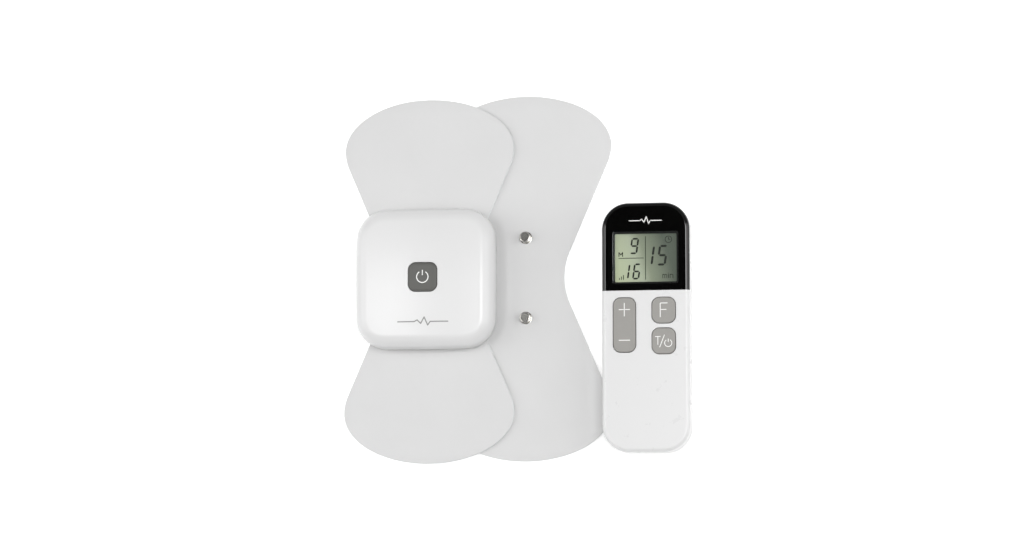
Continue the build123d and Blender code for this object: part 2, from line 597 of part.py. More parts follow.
def front_case():
    """The upper shell: face wall, key openings, a ledge under the fascia and posts for the screws."""
    shell = remote_body(0) - remote_body(REMOTE_WALL)
    shell = shell - block(-CUT, CUT, -2 * CUT, 2 * CUT, -CUT, REMOTE_SPLIT)
    shell = shell - lip(remote_outline, REMOTE_WALL, REMOTE_SPLIT, FIT)
    shell = shell - parting_groove(remote_outline, REMOTE_SPLIT)
    ledge_edge = FASCIA_EDGE_Y - REMOTE_WALL
    ledge_zone = block(-CUT, CUT, ledge_edge, 2 * CUT, LEDGE_LOW, REMOTE_CEILING + FIT)
    ledge = ledge_zone & remote_body(REMOTE_WALL / 2)
    post_radius = SCREW_RADIUS + 1.0
    post_tops = [LEDGE_LOW + FIT, LEDGE_LOW + FIT, REMOTE_CEILING + FIT]
    posts = merged(
        rod(at, post_radius, REMOTE_BOARD_TOP, top) for at, top in zip(REMOTE_SCREW_PLACES, post_tops)
    )
    fascia_room = block(-CUT, CUT, FASCIA_EDGE_Y - FIT / 2, 2 * CUT, FASCIA_LOW, CUT)
    room_width, room_length = [size + 2 * FIT for size in LCD_SIZE]
    lcd_room = plate(room_width, room_length, 0.5, REMOTE_BOARD_TOP, CUT, WINDOW_CENTRE)
    openings = merged(
        [
            key_opening(LEVEL_KEY_SIZE, LEVEL_KEY_AT),
            key_opening(SQUARE_KEY_SIZE, FUNCTION_KEY_AT),
            key_opening(SQUARE_KEY_SIZE, TIMER_KEY_AT),
        ]
    )
    ways = merged(screw_way(at, REMOTE_SCREW_HEAD, REMOTE_SCREW_TIP + FIT) for at in REMOTE_SCREW_PLACES)
    return shell + ledge + posts - fascia_room - lcd_room - openings - ways


def display_fascia():
    """The black cap over the upper face, stepped inside its window to seat the lens."""
    zone = block(-CUT, CUT, FASCIA_EDGE_Y, 2 * CUT, FASCIA_LOW, CUT)
    window = plate(*WINDOW_SIZE, 0.6, -CUT, CUT, WINDOW_CENTRE)
    step_low = REMOTE_HEIGHT - LENS_RECESS - LENS_THICKNESS
    seat_width, seat_length = WINDOW_SIZE[0] + 2 * LENS_STEP, WINDOW_SIZE[1] + 2 * LENS_STEP
    seat = plate(seat_width, seat_length, LENS_CORNER + FIT / 2, step_low, CUT, WINDOW_CENTRE)
    return (remote_body(0) & zone) - window - seat


def display_stack():
    """The display, from the lens down to the strips that join the glass to the board."""
    lens_top = REMOTE_HEIGHT - LENS_RECESS
    lens_low = lens_top - LENS_THICKNESS
    lens_width, lens_length = [size + 2 * LENS_STEP - FIT for size in WINDOW_SIZE]
    lens = plate(lens_width, lens_length, LENS_CORNER, lens_low, lens_top, WINDOW_CENTRE)
    gasket = plate(LCD_SIZE[0], LCD_SIZE[1], 0.5, LCD_TOP, FASCIA_LOW, WINDOW_CENTRE)
    gasket = gasket - plate(WINDOW_SIZE[0] + 1, WINDOW_SIZE[1] + 1, 0.5, 0, CUT, WINDOW_CENTRE)
    strip_reach = LCD_SIZE[1] / 2 - ZEBRA_SIZE[1] / 2 - FIT
    strips = [
        plate(*ZEBRA_SIZE, 0.3, REMOTE_BOARD_TOP, LCD_LOW, (0, WINDOW_Y + side * strip_reach))
        for side in (-1, 1)
    ]
    reflector_length = LCD_SIZE[1] - 2 * ZEBRA_SIZE[1] - 1.0
    reflector_low = LCD_LOW - REFLECTOR_THICKNESS
    return {
        "remote_display_lens": lens,
        "remote_display_gasket": gasket,
        "remote_lcd_panel": plate(*LCD_SIZE, 0.4, LCD_LOW, LCD_TOP, WINDOW_CENTRE),
        "remote_lcd_reflector": plate(
            WINDOW_SIZE[0], reflector_length, 0.4, reflector_low, LCD_LOW, WINDOW_CENTRE
        ),
        "remote_zebra_strips": group(strips),
    }


def door_rails():
    """The hooked rails along the door, which ride on the back case's floor."""
    rails = []
    rail_run = (BAY_LOW_Y + 2, DOOR_TOP_Y - RAIL_INSET)
    for side in (-1, 1):
        foot = sorted((side * (DOOR_HALF_WIDTH - RAIL_REACH), side * DOOR_HALF_WIDTH))
        hook = sorted((side * (DOOR_HALF_WIDTH - RAIL_REACH), side * (DOOR_HALF_WIDTH + RAIL_REACH)))
        rails.append(block(*foot, *rail_run, DOOR_THICKNESS - FIT, RAIL_TOP))
        rails.append(block(*hook, *rail_run, RAIL_LOW, RAIL_TOP))
    return merged(rails)


def battery_door():
    """The sliding door: the flat of the back and the curl of its lower end, with finger grooves."""
    half, top = DOOR_HALF_WIDTH, REMOTE_SPLIT - DOOR_CLEARANCE
    zone = block(-half, half, -2 * CUT, DOOR_TOP_Y, -CUT, top)
    skin = (remote_body(0) - remote_body(DOOR_THICKNESS)) & zone
    first = BAY_LOW_Y + GRIP_FROM_BAY
    reach = GRIP_LENGTH / 2
    grooves = [
        block(-reach, reach, y, y + GRIP_WIDTH, -CUT, GRIP_DEPTH)
        for y in (first + index * GRIP_PITCH for index in range(GRIP_GROOVES))
    ]
    return skin + door_rails() - merged(grooves)


def back_case():
    """The lower shell, with the battery bay's walls and roof, the door's opening and the screw bosses."""
    shell = remote_body(0) - remote_body(REMOTE_WALL)
    shell = shell - block(-CUT, CUT, -2 * CUT, 2 * CUT, REMOTE_SPLIT, CUT)
    shell = shell + lip(remote_outline, REMOTE_WALL, REMOTE_SPLIT, 0)
    inner_half = BAY_HALF_WIDTH
    outer_half = inner_half + BAY_WALL
    low_y, high_y = BAY_LOW_Y - BAY_WALL, BAY_HIGH_Y + BAY_WALL
    roof = block(-CUT, CUT, low_y, high_y, BAY_ROOF_LOW, BAY_ROOF_HIGH)
    roof = roof & remote_body(REMOTE_WALL + FIT)
    web_room = remote_body(REMOTE_WALL / 2) - (
        block(-CUT, CUT, -2 * CUT, 2 * CUT, REMOTE_SPLIT, CUT) - remote_body(REMOTE_WALL + FIT)
    )
    webs = []
    for y in (BAY_LOW_Y + WEB_INSET, BAY_HIGH_Y - WEB_INSET):
        web = block(-CUT, -outer_half, y, y + BAY_WALL, REMOTE_WALL, BAY_ROOF_HIGH) & web_room
        webs += [web, mirror(web, Plane.YZ)]
    walls = block(-outer_half, outer_half, low_y, high_y, BAY_CLEAR_Z, BAY_ROOF_HIGH)
    walls = walls - block(-inner_half, inner_half, BAY_LOW_Y, BAY_HIGH_Y, -CUT, BAY_ROOF_LOW)
    boss_radius = SCREW_HEAD_RADIUS + 1.0
    bosses = merged(rod(at, boss_radius, FIT, REMOTE_BOARD_LEVEL) for at in REMOTE_SCREW_PLACES)
    ways = merged(screw_way(at, REMOTE_SCREW_HEAD, CUT) for at in REMOTE_SCREW_PLACES)
    half = DOOR_HALF_WIDTH + DOOR_CLEARANCE
    opening = block(-half, half, -2 * CUT, DOOR_TOP_Y + DOOR_CLEARANCE, -CUT, BAY_CLEAR_Z - FIT)
    end_opening = block(-half, half, -2 * CUT, low_y - FIT, -CUT, REMOTE_SPLIT)
    half_exit = half + RAIL_REACH
    rail_end = DOOR_TOP_Y - RAIL_INSET + 1
    rail_exit = block(-half_exit, half_exit, -2 * CUT, rail_end, REMOTE_WALL, RAIL_TOP + 2 * FIT)
    return merged([shell, roof, walls, *webs, bosses]) - ways - opening - end_opening - rail_exit


def aaa_cell(x, nub_side):
    """A AAA cell along y at x; nub_side is -1 where its nub points to the lower end."""
    can_length = AAA_LENGTH - AAA_NUB_LENGTH
    if nub_side < 0:
        nub_y = BAY_LOW_Y + CONTACT_THICKNESS
        can_y = nub_y + AAA_NUB_LENGTH
    else:
        can_y = BAY_LOW_Y + CONTACT_THICKNESS + SPRING_LENGTH
        nub_y = can_y + can_length
    can = Pos(x, can_y + can_length / 2, CELL_Z) * Rot(90, 0, 0) * Cylinder(AAA_RADIUS, can_length)
    can = fillet(can.edges().filter_by(GeomType.CIRCLE), 0.4)
    nub_centre = nub_y + AAA_NUB_LENGTH / 2
    return can + Pos(x, nub_centre, CELL_Z) * Rot(90, 0, 0) * Cylinder(AAA_NUB_RADIUS, AAA_NUB_LENGTH)


def coil_spring(x, y_low):
    """A contact spring between an end plate and a cell."""
    usable = SPRING_LENGTH - SPRING_WIRE
    path = Helix(pitch=usable / 3, height=usable, radius=SPRING_RADIUS)
    section = Plane(origin=path @ 0, z_dir=path % 0) * Circle(SPRING_WIRE / 2)
    coil = sweep(section, path=path, is_frenet=True)
    return Pos(x, y_low + SPRING_WIRE / 2, CELL_Z) * Rot(-90, 0, 0) * coil


def battery_nodes():
    """The cells, their springs and the contact plates at both ends of the bay."""
    cell_x = AAA_RADIUS + BAY_SLACK / 2
    plate_half = AAA_RADIUS - 1.0
    plates = []
    low, high = BAY_CLEAR_Z + 0.5, BAY_ROOF_LOW
    for x in (-cell_x, cell_x):
        for y in (BAY_LOW_Y, BAY_HIGH_Y - CONTACT_THICKNESS):
            plates.append(block(x - plate_half, x + plate_half, y, y + CONTACT_THICKNESS, low, high))
    springs = [
        coil_spring(-cell_x, BAY_LOW_Y + CONTACT_THICKNESS + AAA_LENGTH),
        coil_spring(cell_x, BAY_LOW_Y + CONTACT_THICKNESS),
    ]
    return {
        "remote_left_cell": aaa_cell(-cell_x, -1),
        "remote_right_cell": aaa_cell(cell_x, 1),
        "remote_battery_springs": group(springs),
        "remote_battery_plates": group(plates),
    }


def remote_nodes():
    """Every fixed piece of the remote, with its back centred on the origin."""
    board_top_y = REMOTE_LENGTH / 2 - REMOTE_WALL - REMOTE_BOARD_TOP_GAP
    board_low_y = TIMER_KEY_AT[1] - SQUARE_KEY_SIZE[1] / 2
    board_length = board_top_y - board_low_y
    board_place = (0, (board_top_y + board_low_y) / 2)
    low, top = REMOTE_BOARD_LEVEL, REMOTE_BOARD_TOP
    board = plate(REMOTE_BOARD_WIDTH, board_length, REMOTE_BOARD_CORNER, low, top, board_place)
    board_holes = merged(rod(at, SCREW_RADIUS + FIT, 0, CUT) for at in REMOTE_SCREW_PLACES)
    mat_length = LEVEL_KEY_SIZE[1] + 2 * KEY_FLANGE
    mat = plate(REMOTE_BOARD_WIDTH - 4, mat_length, 3, top, top + MAT_THICKNESS, (0, LEVEL_KEY_AT[1]))
    pill_holes = merged(rod(at, PILL_RADIUS + 3 * FIT, 0, CUT) for at in pill_places())
    post_hole = rod(REMOTE_SCREW_PLACES[2], SCREW_RADIUS + 1.0 + 2 * FIT, 0, CUT)
    nodes = {
        "remote_front_case": front_case(),
        "remote_back_case": back_case(),
        "remote_display_fascia": display_fascia(),
        "remote_circuit_board": board - board_holes,
        "remote_keypad_mat": mat - pill_holes - post_hole,
        "remote_processor": block(-4, 4, WINDOW_Y - 4, WINDOW_Y + 4, low - CHIP_HEIGHT, low),
        "remote_buzzer": rod(BUZZER_AT, BUZZER_RADIUS, low - BUZZER_HEIGHT, low),
        "remote_case_screws": group(
            screw(at, REMOTE_SCREW_HEAD, REMOTE_SCREW_TIP) for at in REMOTE_SCREW_PLACES
        ),
    }
    return nodes | display_stack() | battery_nodes()


# ---------------------------------------------------------------- remote keys
KEY_FLANGE_TOP = REMOTE_CEILING - FIT
KEY_FLANGE_LOW = KEY_FLANGE_TOP - KEY_FLANGE_THICKNESS
PILL_LOW = REMOTE_BOARD_TOP + KEY_TRAVEL + FIT / 2


def pill_places():
    """Where each key's contact pill stands."""
    level_x, level_y = LEVEL_KEY_AT
    ends = [(level_x, level_y + side * LEVEL_PILL_REACH) for side in (-1, 1)]
    return [*ends, FUNCTION_KEY_AT, TIMER_KEY_AT]


def key_cap(size, place, flange_length):
    """A rubber key that stands through the face, kept in by a flange behind it."""
    top = REMOTE_HEIGHT + KEY_PROUD
    cap = plate(size[0], size[1], KEY_CORNER, KEY_FLANGE_LOW, top, place)
    cap = fillet(cap.edges().group_by(Axis.Z)[-1], KEY_ROUND)
    wide = size[0] + 2 * KEY_CLEARANCE + 2 * KEY_FLANGE
    flange = plate(wide, flange_length, KEY_FLANGE - FIT, KEY_FLANGE_LOW, KEY_FLANGE_TOP, place)
    return cap + flange


def key_pill(place):
    """The conductive pill under a key."""
    return rod(place, PILL_RADIUS, PILL_LOW, KEY_FLANGE_LOW)


def key_nodes():
    """The remote's keys, each with its pill or pills."""
    places = pill_places()
    square_flange = SQUARE_KEY_SIZE[1] + 2 * KEY_CLEARANCE + KEY_FLANGE
    return {
        "level_key_cap": key_cap(LEVEL_KEY_SIZE, LEVEL_KEY_AT, ROCKER_BAR_WIDTH),
        "level_key_pills": group(key_pill(at) for at in places[:2]),
        "function_key_cap": key_cap(SQUARE_KEY_SIZE, FUNCTION_KEY_AT, square_flange),
        "function_key_pill": key_pill(FUNCTION_KEY_AT),
        "timer_key_cap": key_cap(SQUARE_KEY_SIZE, TIMER_KEY_AT, square_flange),
        "timer_key_pill": key_pill(TIMER_KEY_AT),
    }


# ---------------------------------------------------------------- the whole kit
def kit():
    """Every node at its place in the kit."""
    nodes = pad_nodes("spare_pad", (SPARE_X, SPARE_Y), draped=False)
    nodes |= pad_nodes("front_pad", (FRONT_X, FRONT_Y), draped=True)
    for name, piece in (receiver_nodes() | power_key_nodes()).items():
        nodes[name] = Pos(FRONT_X, FRONT_Y, RECEIVER_LEVEL) * piece
    handset = remote_nodes() | key_nodes() | {"remote_battery_door": battery_door()}
    for name, piece in handset.items():
        nodes[name] = Pos(REMOTE_X, REMOTE_SHIFT_Y, 0) * piece
    return nodes


os.makedirs("parts", exist_ok=True)
for node, shape in kit().items():
    export_step(shape, f"parts/{node}.step")
print("front pad", FRONT_X, FRONT_Y, "spare pad", SPARE_X, SPARE_Y, "remote", REMOTE_X, REMOTE_SHIFT_Y)
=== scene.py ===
"""A wireless muscle-stimulation kit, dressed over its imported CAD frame.

Two hourglass electrode pads lie lapped on a table. A square receiver is snapped to the front one, the spare
one shows its snap studs, and a battery remote with a display lies beside them. Every size below is in
millimetres, and is turned to metres where a mesh or a shader needs it.
"""

import logging
import math
from dataclasses import dataclass, field
from enum import Enum
from typing import Callable

import bmesh
import bpy
from mathutils import Matrix, Vector

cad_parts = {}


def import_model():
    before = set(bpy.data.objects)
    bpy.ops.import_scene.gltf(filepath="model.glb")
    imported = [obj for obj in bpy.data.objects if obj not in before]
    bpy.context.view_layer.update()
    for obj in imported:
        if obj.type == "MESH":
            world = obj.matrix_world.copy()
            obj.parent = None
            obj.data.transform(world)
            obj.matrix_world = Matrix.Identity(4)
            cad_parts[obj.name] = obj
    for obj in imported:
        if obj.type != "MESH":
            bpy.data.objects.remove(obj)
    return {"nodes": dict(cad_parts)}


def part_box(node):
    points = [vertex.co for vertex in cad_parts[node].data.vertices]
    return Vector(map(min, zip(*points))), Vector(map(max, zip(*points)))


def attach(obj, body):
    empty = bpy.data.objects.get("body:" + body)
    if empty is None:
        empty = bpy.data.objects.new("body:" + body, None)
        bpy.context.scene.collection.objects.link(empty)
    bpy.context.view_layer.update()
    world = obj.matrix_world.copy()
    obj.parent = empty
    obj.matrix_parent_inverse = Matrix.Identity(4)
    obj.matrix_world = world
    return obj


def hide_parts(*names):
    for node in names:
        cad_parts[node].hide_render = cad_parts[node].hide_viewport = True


LOG = logging.getLogger("stimulator_kit")
MM = 0.001
Point = tuple[float, float]
Height = Callable[[float, float], float]


def linear(code: str) -> tuple[float, float, float, float]:
    """Turn an sRGB hex colour to linear RGBA.

    Args:
        code: A colour such as "#DBDBDB".

    Returns:
        The linear red, green, blue and an alpha of 1.
    """
    channels = [int(code[start : start + 2], 16) / 255 for start in (1, 3, 5)]
    red, green, blue = [
        channel / 12.92 if channel <= 0.04045 else ((channel + 0.055) / 1.055) ** 2.4 for channel in channels
    ]
    return red, green, blue, 1.0


def add_node(
    tree: bpy.types.NodeTree,
    kind: str,
    inputs: dict | None = None,
    links: dict | None = None,
    stops: list | None = None,
    **settings: object,
) -> bpy.types.Node:
    """Add one shader node with its settings, values and links.

    Args:
        tree: The node tree that gets the node.
        kind: The node's type name.
        inputs: Values for its input sockets, by name or number.
        links: Output sockets to link to its inputs, by name or number.
        stops: Positions and colours, for a ramp.
        **settings: Its other settings.

    Returns:
        The new node.
    """
    node = tree.nodes.new(kind)
    for name, value in settings.items():
        setattr(node, name, value)
    for name, value in (inputs or {}).items():
        node.inputs[name].default_value = value
    for name, socket in (links or {}).items():
        tree.links.new(socket, node.inputs[name])
    for index, (position, colour) in enumerate(stops or []):
        elements = node.color_ramp.elements
        element = elements[index] if index < 2 else elements.new(position)
        element.position = position
        element.color = colour
    return node


# ------------------------------------------------------------------ finishes
@dataclass(frozen=True)
class Finish:
    """A real material and how its surface was made.

    The base is a moulded or cast surface: a fine grain in relief, a slow drift of tone, and a slightly uneven
    gloss. A subclass adds what its own material shows.
    """

    name: str
    colour: str
    roughness: float = 0.4
    grain_mm: float = 0.5
    grain_depth_mm: float = 0.006
    drift: float = 0.03
    drift_mm: float = 18.0
    gloss_spread: float = 0.05
    metallic: float = 0.0
    ior: float = 1.5
    alpha: float = 1.0
    coat: float = 0.0
    coat_roughness: float = 0.05
    glow: float = 0.0

    def material(self) -> bpy.types.Material:
        """Make the material, or find it if it was made before."""
        ready = bpy.data.materials.get(self.name)
        if ready:
            return ready
        made = bpy.data.materials.new(self.name)
        made.use_nodes = True
        tree = made.node_tree
        tree.nodes.clear()
        values = {
            "Metallic": self.metallic,
            "IOR": self.ior,
            "Alpha": self.alpha,
            "Coat Weight": self.coat,
            "Coat Roughness": self.coat_roughness,
            "Emission Color": (1.0, 1.0, 1.0, 1.0),
            "Emission Strength": self.glow,
        }
        shader = add_node(tree, "ShaderNodeBsdfPrincipled", inputs=values)
        output = add_node(tree, "ShaderNodeOutputMaterial", links={"Surface": shader.outputs["BSDF"]})
        output.location = (300, 0)
        place = add_node(tree, "ShaderNodeTexCoord").outputs["Object"]
        self.dress(tree, shader, place)
        return made

    def scale(self, size_mm: float) -> float:
        """The texture scale at which one cell is size_mm across."""
        return 1 / (size_mm * MM)

    def dress(self, tree: bpy.types.NodeTree, shader: bpy.types.Node, place: bpy.types.NodeSocket) -> None:
        """Wire colour, gloss and relief to the shader.

        Args:
            tree: The material's node tree.
            shader: Its principled shader.
            place: The object coordinates.
        """
        tree.links.new(self.tone(tree, place), shader.inputs["Base Color"])
        tree.links.new(self.gloss(tree, place), shader.inputs["Roughness"])
        bump = add_node(
            tree,
            "ShaderNodeBump",
            inputs={"Strength": 1.0, "Distance": self.grain_depth_mm * MM},
            links={"Height": self.relief(tree, place)},
        )
        tree.links.new(bump.outputs["Normal"], shader.inputs["Normal"])

    def tone(self, tree: bpy.types.NodeTree, place: bpy.types.NodeSocket) -> bpy.types.NodeSocket:
        """The colour, which drifts slowly between a lighter and a darker tone."""
        cloud = add_node(
            tree,
            "ShaderNodeTexNoise",
            inputs={"Scale": self.scale(self.drift_mm), "Detail": 3.0},
            links={"Vector": place},
        )
        red, green, blue, alpha = linear(self.colour)
        low = tuple(channel * (1 - self.drift) for channel in (red, green, blue)) + (alpha,)
        high = tuple(min(channel * (1 + self.drift), 1) for channel in (red, green, blue)) + (alpha,)
        ramp = add_node(
            tree,
            "ShaderNodeValToRGB",
            links={"Fac": cloud.outputs["Fac"]},
            stops=[(0.3, low), (0.7, high)],
        )
        return ramp.outputs["Color"]

    def gloss(self, tree: bpy.types.NodeTree, place: bpy.types.NodeSocket) -> bpy.types.NodeSocket:
        """The roughness, which varies a little with handling and flow."""
        smear = add_node(
            tree,
            "ShaderNodeTexNoise",
            inputs={"Scale": self.scale(7.0), "Detail": 4.0, "Roughness": 0.6},
            links={"Vector": place},
        )
        spread = add_node(
            tree,
            "ShaderNodeMapRange",
            inputs={
                "To Min": max(self.roughness - self.gloss_spread, 0.01),
                "To Max": min(self.roughness + self.gloss_spread, 1.0),
            },
            links={"Value": smear.outputs["Fac"]},
        )
        return spread.outputs["Result"]

    def relief(self, tree: bpy.types.NodeTree, place: bpy.types.NodeSocket) -> bpy.types.NodeSocket:
        """The height of the grain."""
        grain = add_node(
            tree,
            "ShaderNodeTexNoise",
            inputs={"Scale": self.scale(self.grain_mm), "Detail": 2.0},
            links={"Vector": place},
        )
        return grain.outputs["Fac"]


@dataclass(frozen=True)
class KnittedFabric(Finish):
    """A fine polyester knit: rows of small loops with loose fibre over them."""

    loop_mm: float = 0.9

    def relief(self, tree: bpy.types.NodeTree, place: bpy.types.NodeSocket) -> bpy.types.NodeSocket:
        """The height of the loops, with the fibre's fuzz added."""
        waves = [
            add_node(
                tree,
                "ShaderNodeTexWave",
                inputs={
                    "Scale": self.scale(self.loop_mm) / 20 * spacing,
                    "Distortion": 1.2,
                    "Detail": 1.0,
                    "Detail Scale": 1.0,
                },
                links={"Vector": place},
                bands_direction=direction,
            )
            for direction, spacing in (("X", 1.0), ("Y", 0.7))
        ]
        loops = add_node(
            tree,
            "ShaderNodeMath",
            links={0: waves[0].outputs["Fac"], 1: waves[1].outputs["Fac"]},
            operation="MULTIPLY",
        )
        fuzz = add_node(
            tree,
            "ShaderNodeTexNoise",
            inputs={"Scale": self.scale(0.35), "Detail": 3.0},
            links={"Vector": place},
        )
        both = add_node(
            tree,
            "ShaderNodeMath",
            inputs={2: 0.0},
            links={0: fuzz.outputs["Fac"], 2: loops.outputs["Value"]},
            operation="MULTIPLY_ADD",
        )
        both.inputs[1].default_value = 0.55
        return both.outputs["Value"]


@dataclass(frozen=True)
class PlatedMetal(Finish):
    """Plated or drawn metal, with fine handling scratches that run one way."""

    scratch_mm: float = 0.12

    def relief(self, tree: bpy.types.NodeTree, place: bpy.types.NodeSocket) -> bpy.types.NodeSocket:
        """The height of the scratches, drawn out along y."""
        stretched = add_node(
            tree, "ShaderNodeMapping", inputs={"Scale": (1.0, 0.12, 1.0)}, links={"Vector": place}
        )
        lines = add_node(
            tree,
            "ShaderNodeTexNoise",
            inputs={"Scale": self.scale(self.scratch_mm), "Detail": 3.0, "Roughness": 0.7},
            links={"Vector": stretched.outputs["Vector"]},
        )
        return lines.outputs["Fac"]


@dataclass(frozen=True)
class DisplayGlass(Finish):
    """A reflective display's glass: grey-green with a fine pearl, and painted light and shade across it."""

    corner: Point = (0.0, 0.0)
    size: Point = (30.3, 23.7)
    # The colour of the painted shade at the glass's upper right.
    painted_shade: str = "#565F53"

    def tone(self, tree: bpy.types.NodeTree, place: bpy.types.NodeSocket) -> bpy.types.NodeSocket:
        """The colour, a painted highlight at the lower left that fades to painted shade at the upper right."""
        across = add_node(
            tree,
            "ShaderNodeMapping",
            inputs={
                "Location": (-self.corner[0] * MM, -self.corner[1] * MM, 0.0),
            },
            links={"Vector": place},
            vector_type="POINT",
        )
        scaled = add_node(
            tree,
            "ShaderNodeMapping",
            inputs={"Scale": (1 / (self.size[0] * MM), 1 / (self.size[1] * MM), 1.0)},
            links={"Vector": across.outputs["Vector"]},
        )
        parts = add_node(tree, "ShaderNodeSeparateXYZ", links={"Vector": scaled.outputs["Vector"]})
        slant = add_node(
            tree,
            "ShaderNodeMath",
            links={0: parts.outputs["Y"], 2: parts.outputs["X"]},
            operation="MULTIPLY_ADD",
        )
        slant.inputs[1].default_value = 0.25
        # The ramp paints a highlight (#C3CDA8) at the lower left and shade at the upper right, over the glass's
        # grey-green.
        ramp = add_node(
            tree,
            "ShaderNodeValToRGB",
            links={"Fac": slant.outputs["Value"]},
            stops=[
                (0.0, linear("#C3CDA8")),
                (1.0, linear(self.painted_shade)),
                (0.45, linear(self.colour)),
                (0.62, linear("#88917C")),
            ],
        )
        return ramp.outputs["Color"]


@dataclass(frozen=True)
class CircuitLaminate(Finish):
    """Glass-epoxy board under green solder mask, with its copper tracks showing through."""

    track_mm: float = 1.3

    def tone(self, tree: bpy.types.NodeTree, place: bpy.types.NodeSocket) -> bpy.types.NodeSocket:
        """The mask's green, lighter over the tracks."""
        tracks = add_node(
            tree,
            "ShaderNodeTexBrick",
            inputs={
                "Scale": self.scale(self.track_mm) / 4,
                "Color1": linear(self.colour),
                "Color2": linear("#2F7342"),
                "Mortar": linear("#4C9A5B"),
                "Mortar Size": 0.03,
            },
            links={"Vector": place},
        )
        return tracks.outputs["Color"]


@dataclass(frozen=True)
class PrintedSleeve(Finish):
    """A cell's shrink sleeve, with one plain band of a second colour."""

    band: str = "#C9A24A"
    band_y: float = 0.0

    def tone(self, tree: bpy.types.NodeTree, place: bpy.types.NodeSocket) -> bpy.types.NodeSocket:
        """The sleeve's colour, which changes at the band."""
        parts = add_node(tree, "ShaderNodeSeparateXYZ", links={"Vector": place})
        beyond = add_node(
            tree,
            "ShaderNodeMath",
            links={0: parts.outputs["Y"]},
            operation="GREATER_THAN",
        )
        beyond.inputs[1].default_value = self.band_y * MM
        ramp = add_node(
            tree,
            "ShaderNodeValToRGB",
            links={"Fac": beyond.outputs["Value"]},
            stops=[(0.4, linear(self.colour)), (0.6, linear(self.band))],
        )
        return ramp.outputs["Color"]


# Non-woven backed polyester knit. The eye gets an even, dry, light grey with a faint tooth. The real loops are
# about 0.5 mm apart: they are drawn at 0.9 mm, as coarse as they need to be to show.
PAD_KNIT = KnittedFabric(
    "knitted_polyester_grey", "#D8D8D8", 0.9, grain_depth_mm=0.05, drift=0.012, drift_mm=30
)
# Water-based adhesive gel, cast. Wet-looking, a little milky, greenish at its cut edge.
HYDROGEL = Finish("cast_hydrogel", "#C9CFC4", 0.16, grain_mm=2.0, grain_depth_mm=0.02, ior=1.4)
# Carbon-loaded film, calendered. Near-black with a dull sheen.
CARBON_FILM = Finish("carbon_loaded_film", "#222225", 0.5, grain_mm=0.4)
# Siliconed polyester liner. Pale and slippery, a touch blue at the edge.
LINER_FILM = Finish("siliconed_polyester_liner", "#E4E8EA", 0.18, grain_mm=3.0, ior=1.57)
# Nickel-plated brass, pressed. Bright, slightly warm, with fine handling scratches.
NICKEL = PlatedMetal("pressed_nickel_plated_brass", "#CFCDC8", 0.15, grain_depth_mm=0.001, metallic=1.0)
# Stainless steel, drawn: cooler and duller than the nickel.
DRAWN_STEEL = PlatedMetal("drawn_stainless_steel", "#B9BBBC", 0.26, grain_depth_mm=0.002, metallic=1.0)
# Zinc-plated screws: greyer still.
ZINC_STEEL = PlatedMetal("zinc_plated_steel", "#9FA3A6", 0.34, grain_depth_mm=0.003, metallic=1.0)
# Satin ABS from a lightly spark-eroded mould, under a satin lacquer: broad soft highlights along every rolled
# edge. The mould's texture is about 0.1 mm, drawn at 0.45 mm so that it shows.
RECEIVER_ABS = Finish(
    "satin_lacquered_abs_receiver",
    "#DEDEDE",
    roughness=0.32,
    grain_mm=0.45,
    grain_depth_mm=0.0015,
    drift=0.008,
    drift_mm=40,
    gloss_spread=0.02,
    ior=1.54,
    coat=0.4,
    coat_roughness=0.3,
)
RECEIVER_BASE_ABS = Finish("satin_moulded_abs_base", "#D0D0CF", 0.42, 0.45, 0.004, drift=0.01, ior=1.54)
# The remote's ABS has nearly the receiver's tone and no lacquer over it. Its mould was polished, so it has no relief.
REMOTE_ABS = Finish(
    "glossy_moulded_abs_remote",
    "#DDDDDD",
    roughness=0.28,
    grain_mm=1.2,
    grain_depth_mm=0.0,
    drift=0.006,
    drift_mm=50,
    gloss_spread=0.02,
    ior=1.54,
)
REMOTE_BACK_ABS = Finish("satin_moulded_abs_back", "#DCDCDB", 0.4, 0.45, 0.005, drift=0.01, ior=1.54)
# Silicone keys, compression moulded: warm mid grey, dry to the touch, with a soft broad sheen.
KEY_SILICONE = Finish("matt_silicone_grey", "#9A9894", 0.52, 0.35, 0.004, drift=0.02, drift_mm=6, ior=1.41)
POWER_SILICONE = Finish(
    "matt_silicone_charcoal", "#5D5D5A", 0.48, 0.35, 0.004, drift=0.02, drift_mm=6, ior=1.41
)
MAT_SILICONE = Finish("translucent_silicone_mat", "#D2D2CC", 0.45, 0.8, 0.004, ior=1.41)
CARBON_PILL = Finish("conductive_silicone", "#1F1F21", 0.6, 0.3, 0.004, ior=1.41)
# Screen-printed ink: opaque, slightly raised and drier than the plastic under it.
WHITE_INK = Finish("white_screen_ink", "#F4F4F2", 0.5, 0.2, 0.002, drift=0.01, drift_mm=2)
GREY_INK = Finish("grey_screen_ink", "#8D8D8B", 0.5, 0.2, 0.002, drift=0.02, drift_mm=2)
# Polished acrylic, back-painted black: a deep, hard gloss with a faint orange peel at its edges.
BLACK_ACRYLIC = Finish(
    "polished_acrylic_black", "#020202", 0.05, 6.0, 0.004, drift=0.1, gloss_spread=0.02, ior=1.49
)
# Clear acrylic: nearly invisible except for a slight neutral haze.
CLEAR_ACRYLIC = Finish(
    "clear_acrylic_lens", "#B9C0BA", 0.03, 8.0, 0.002, gloss_spread=0.01, ior=1.49, alpha=0.03
)
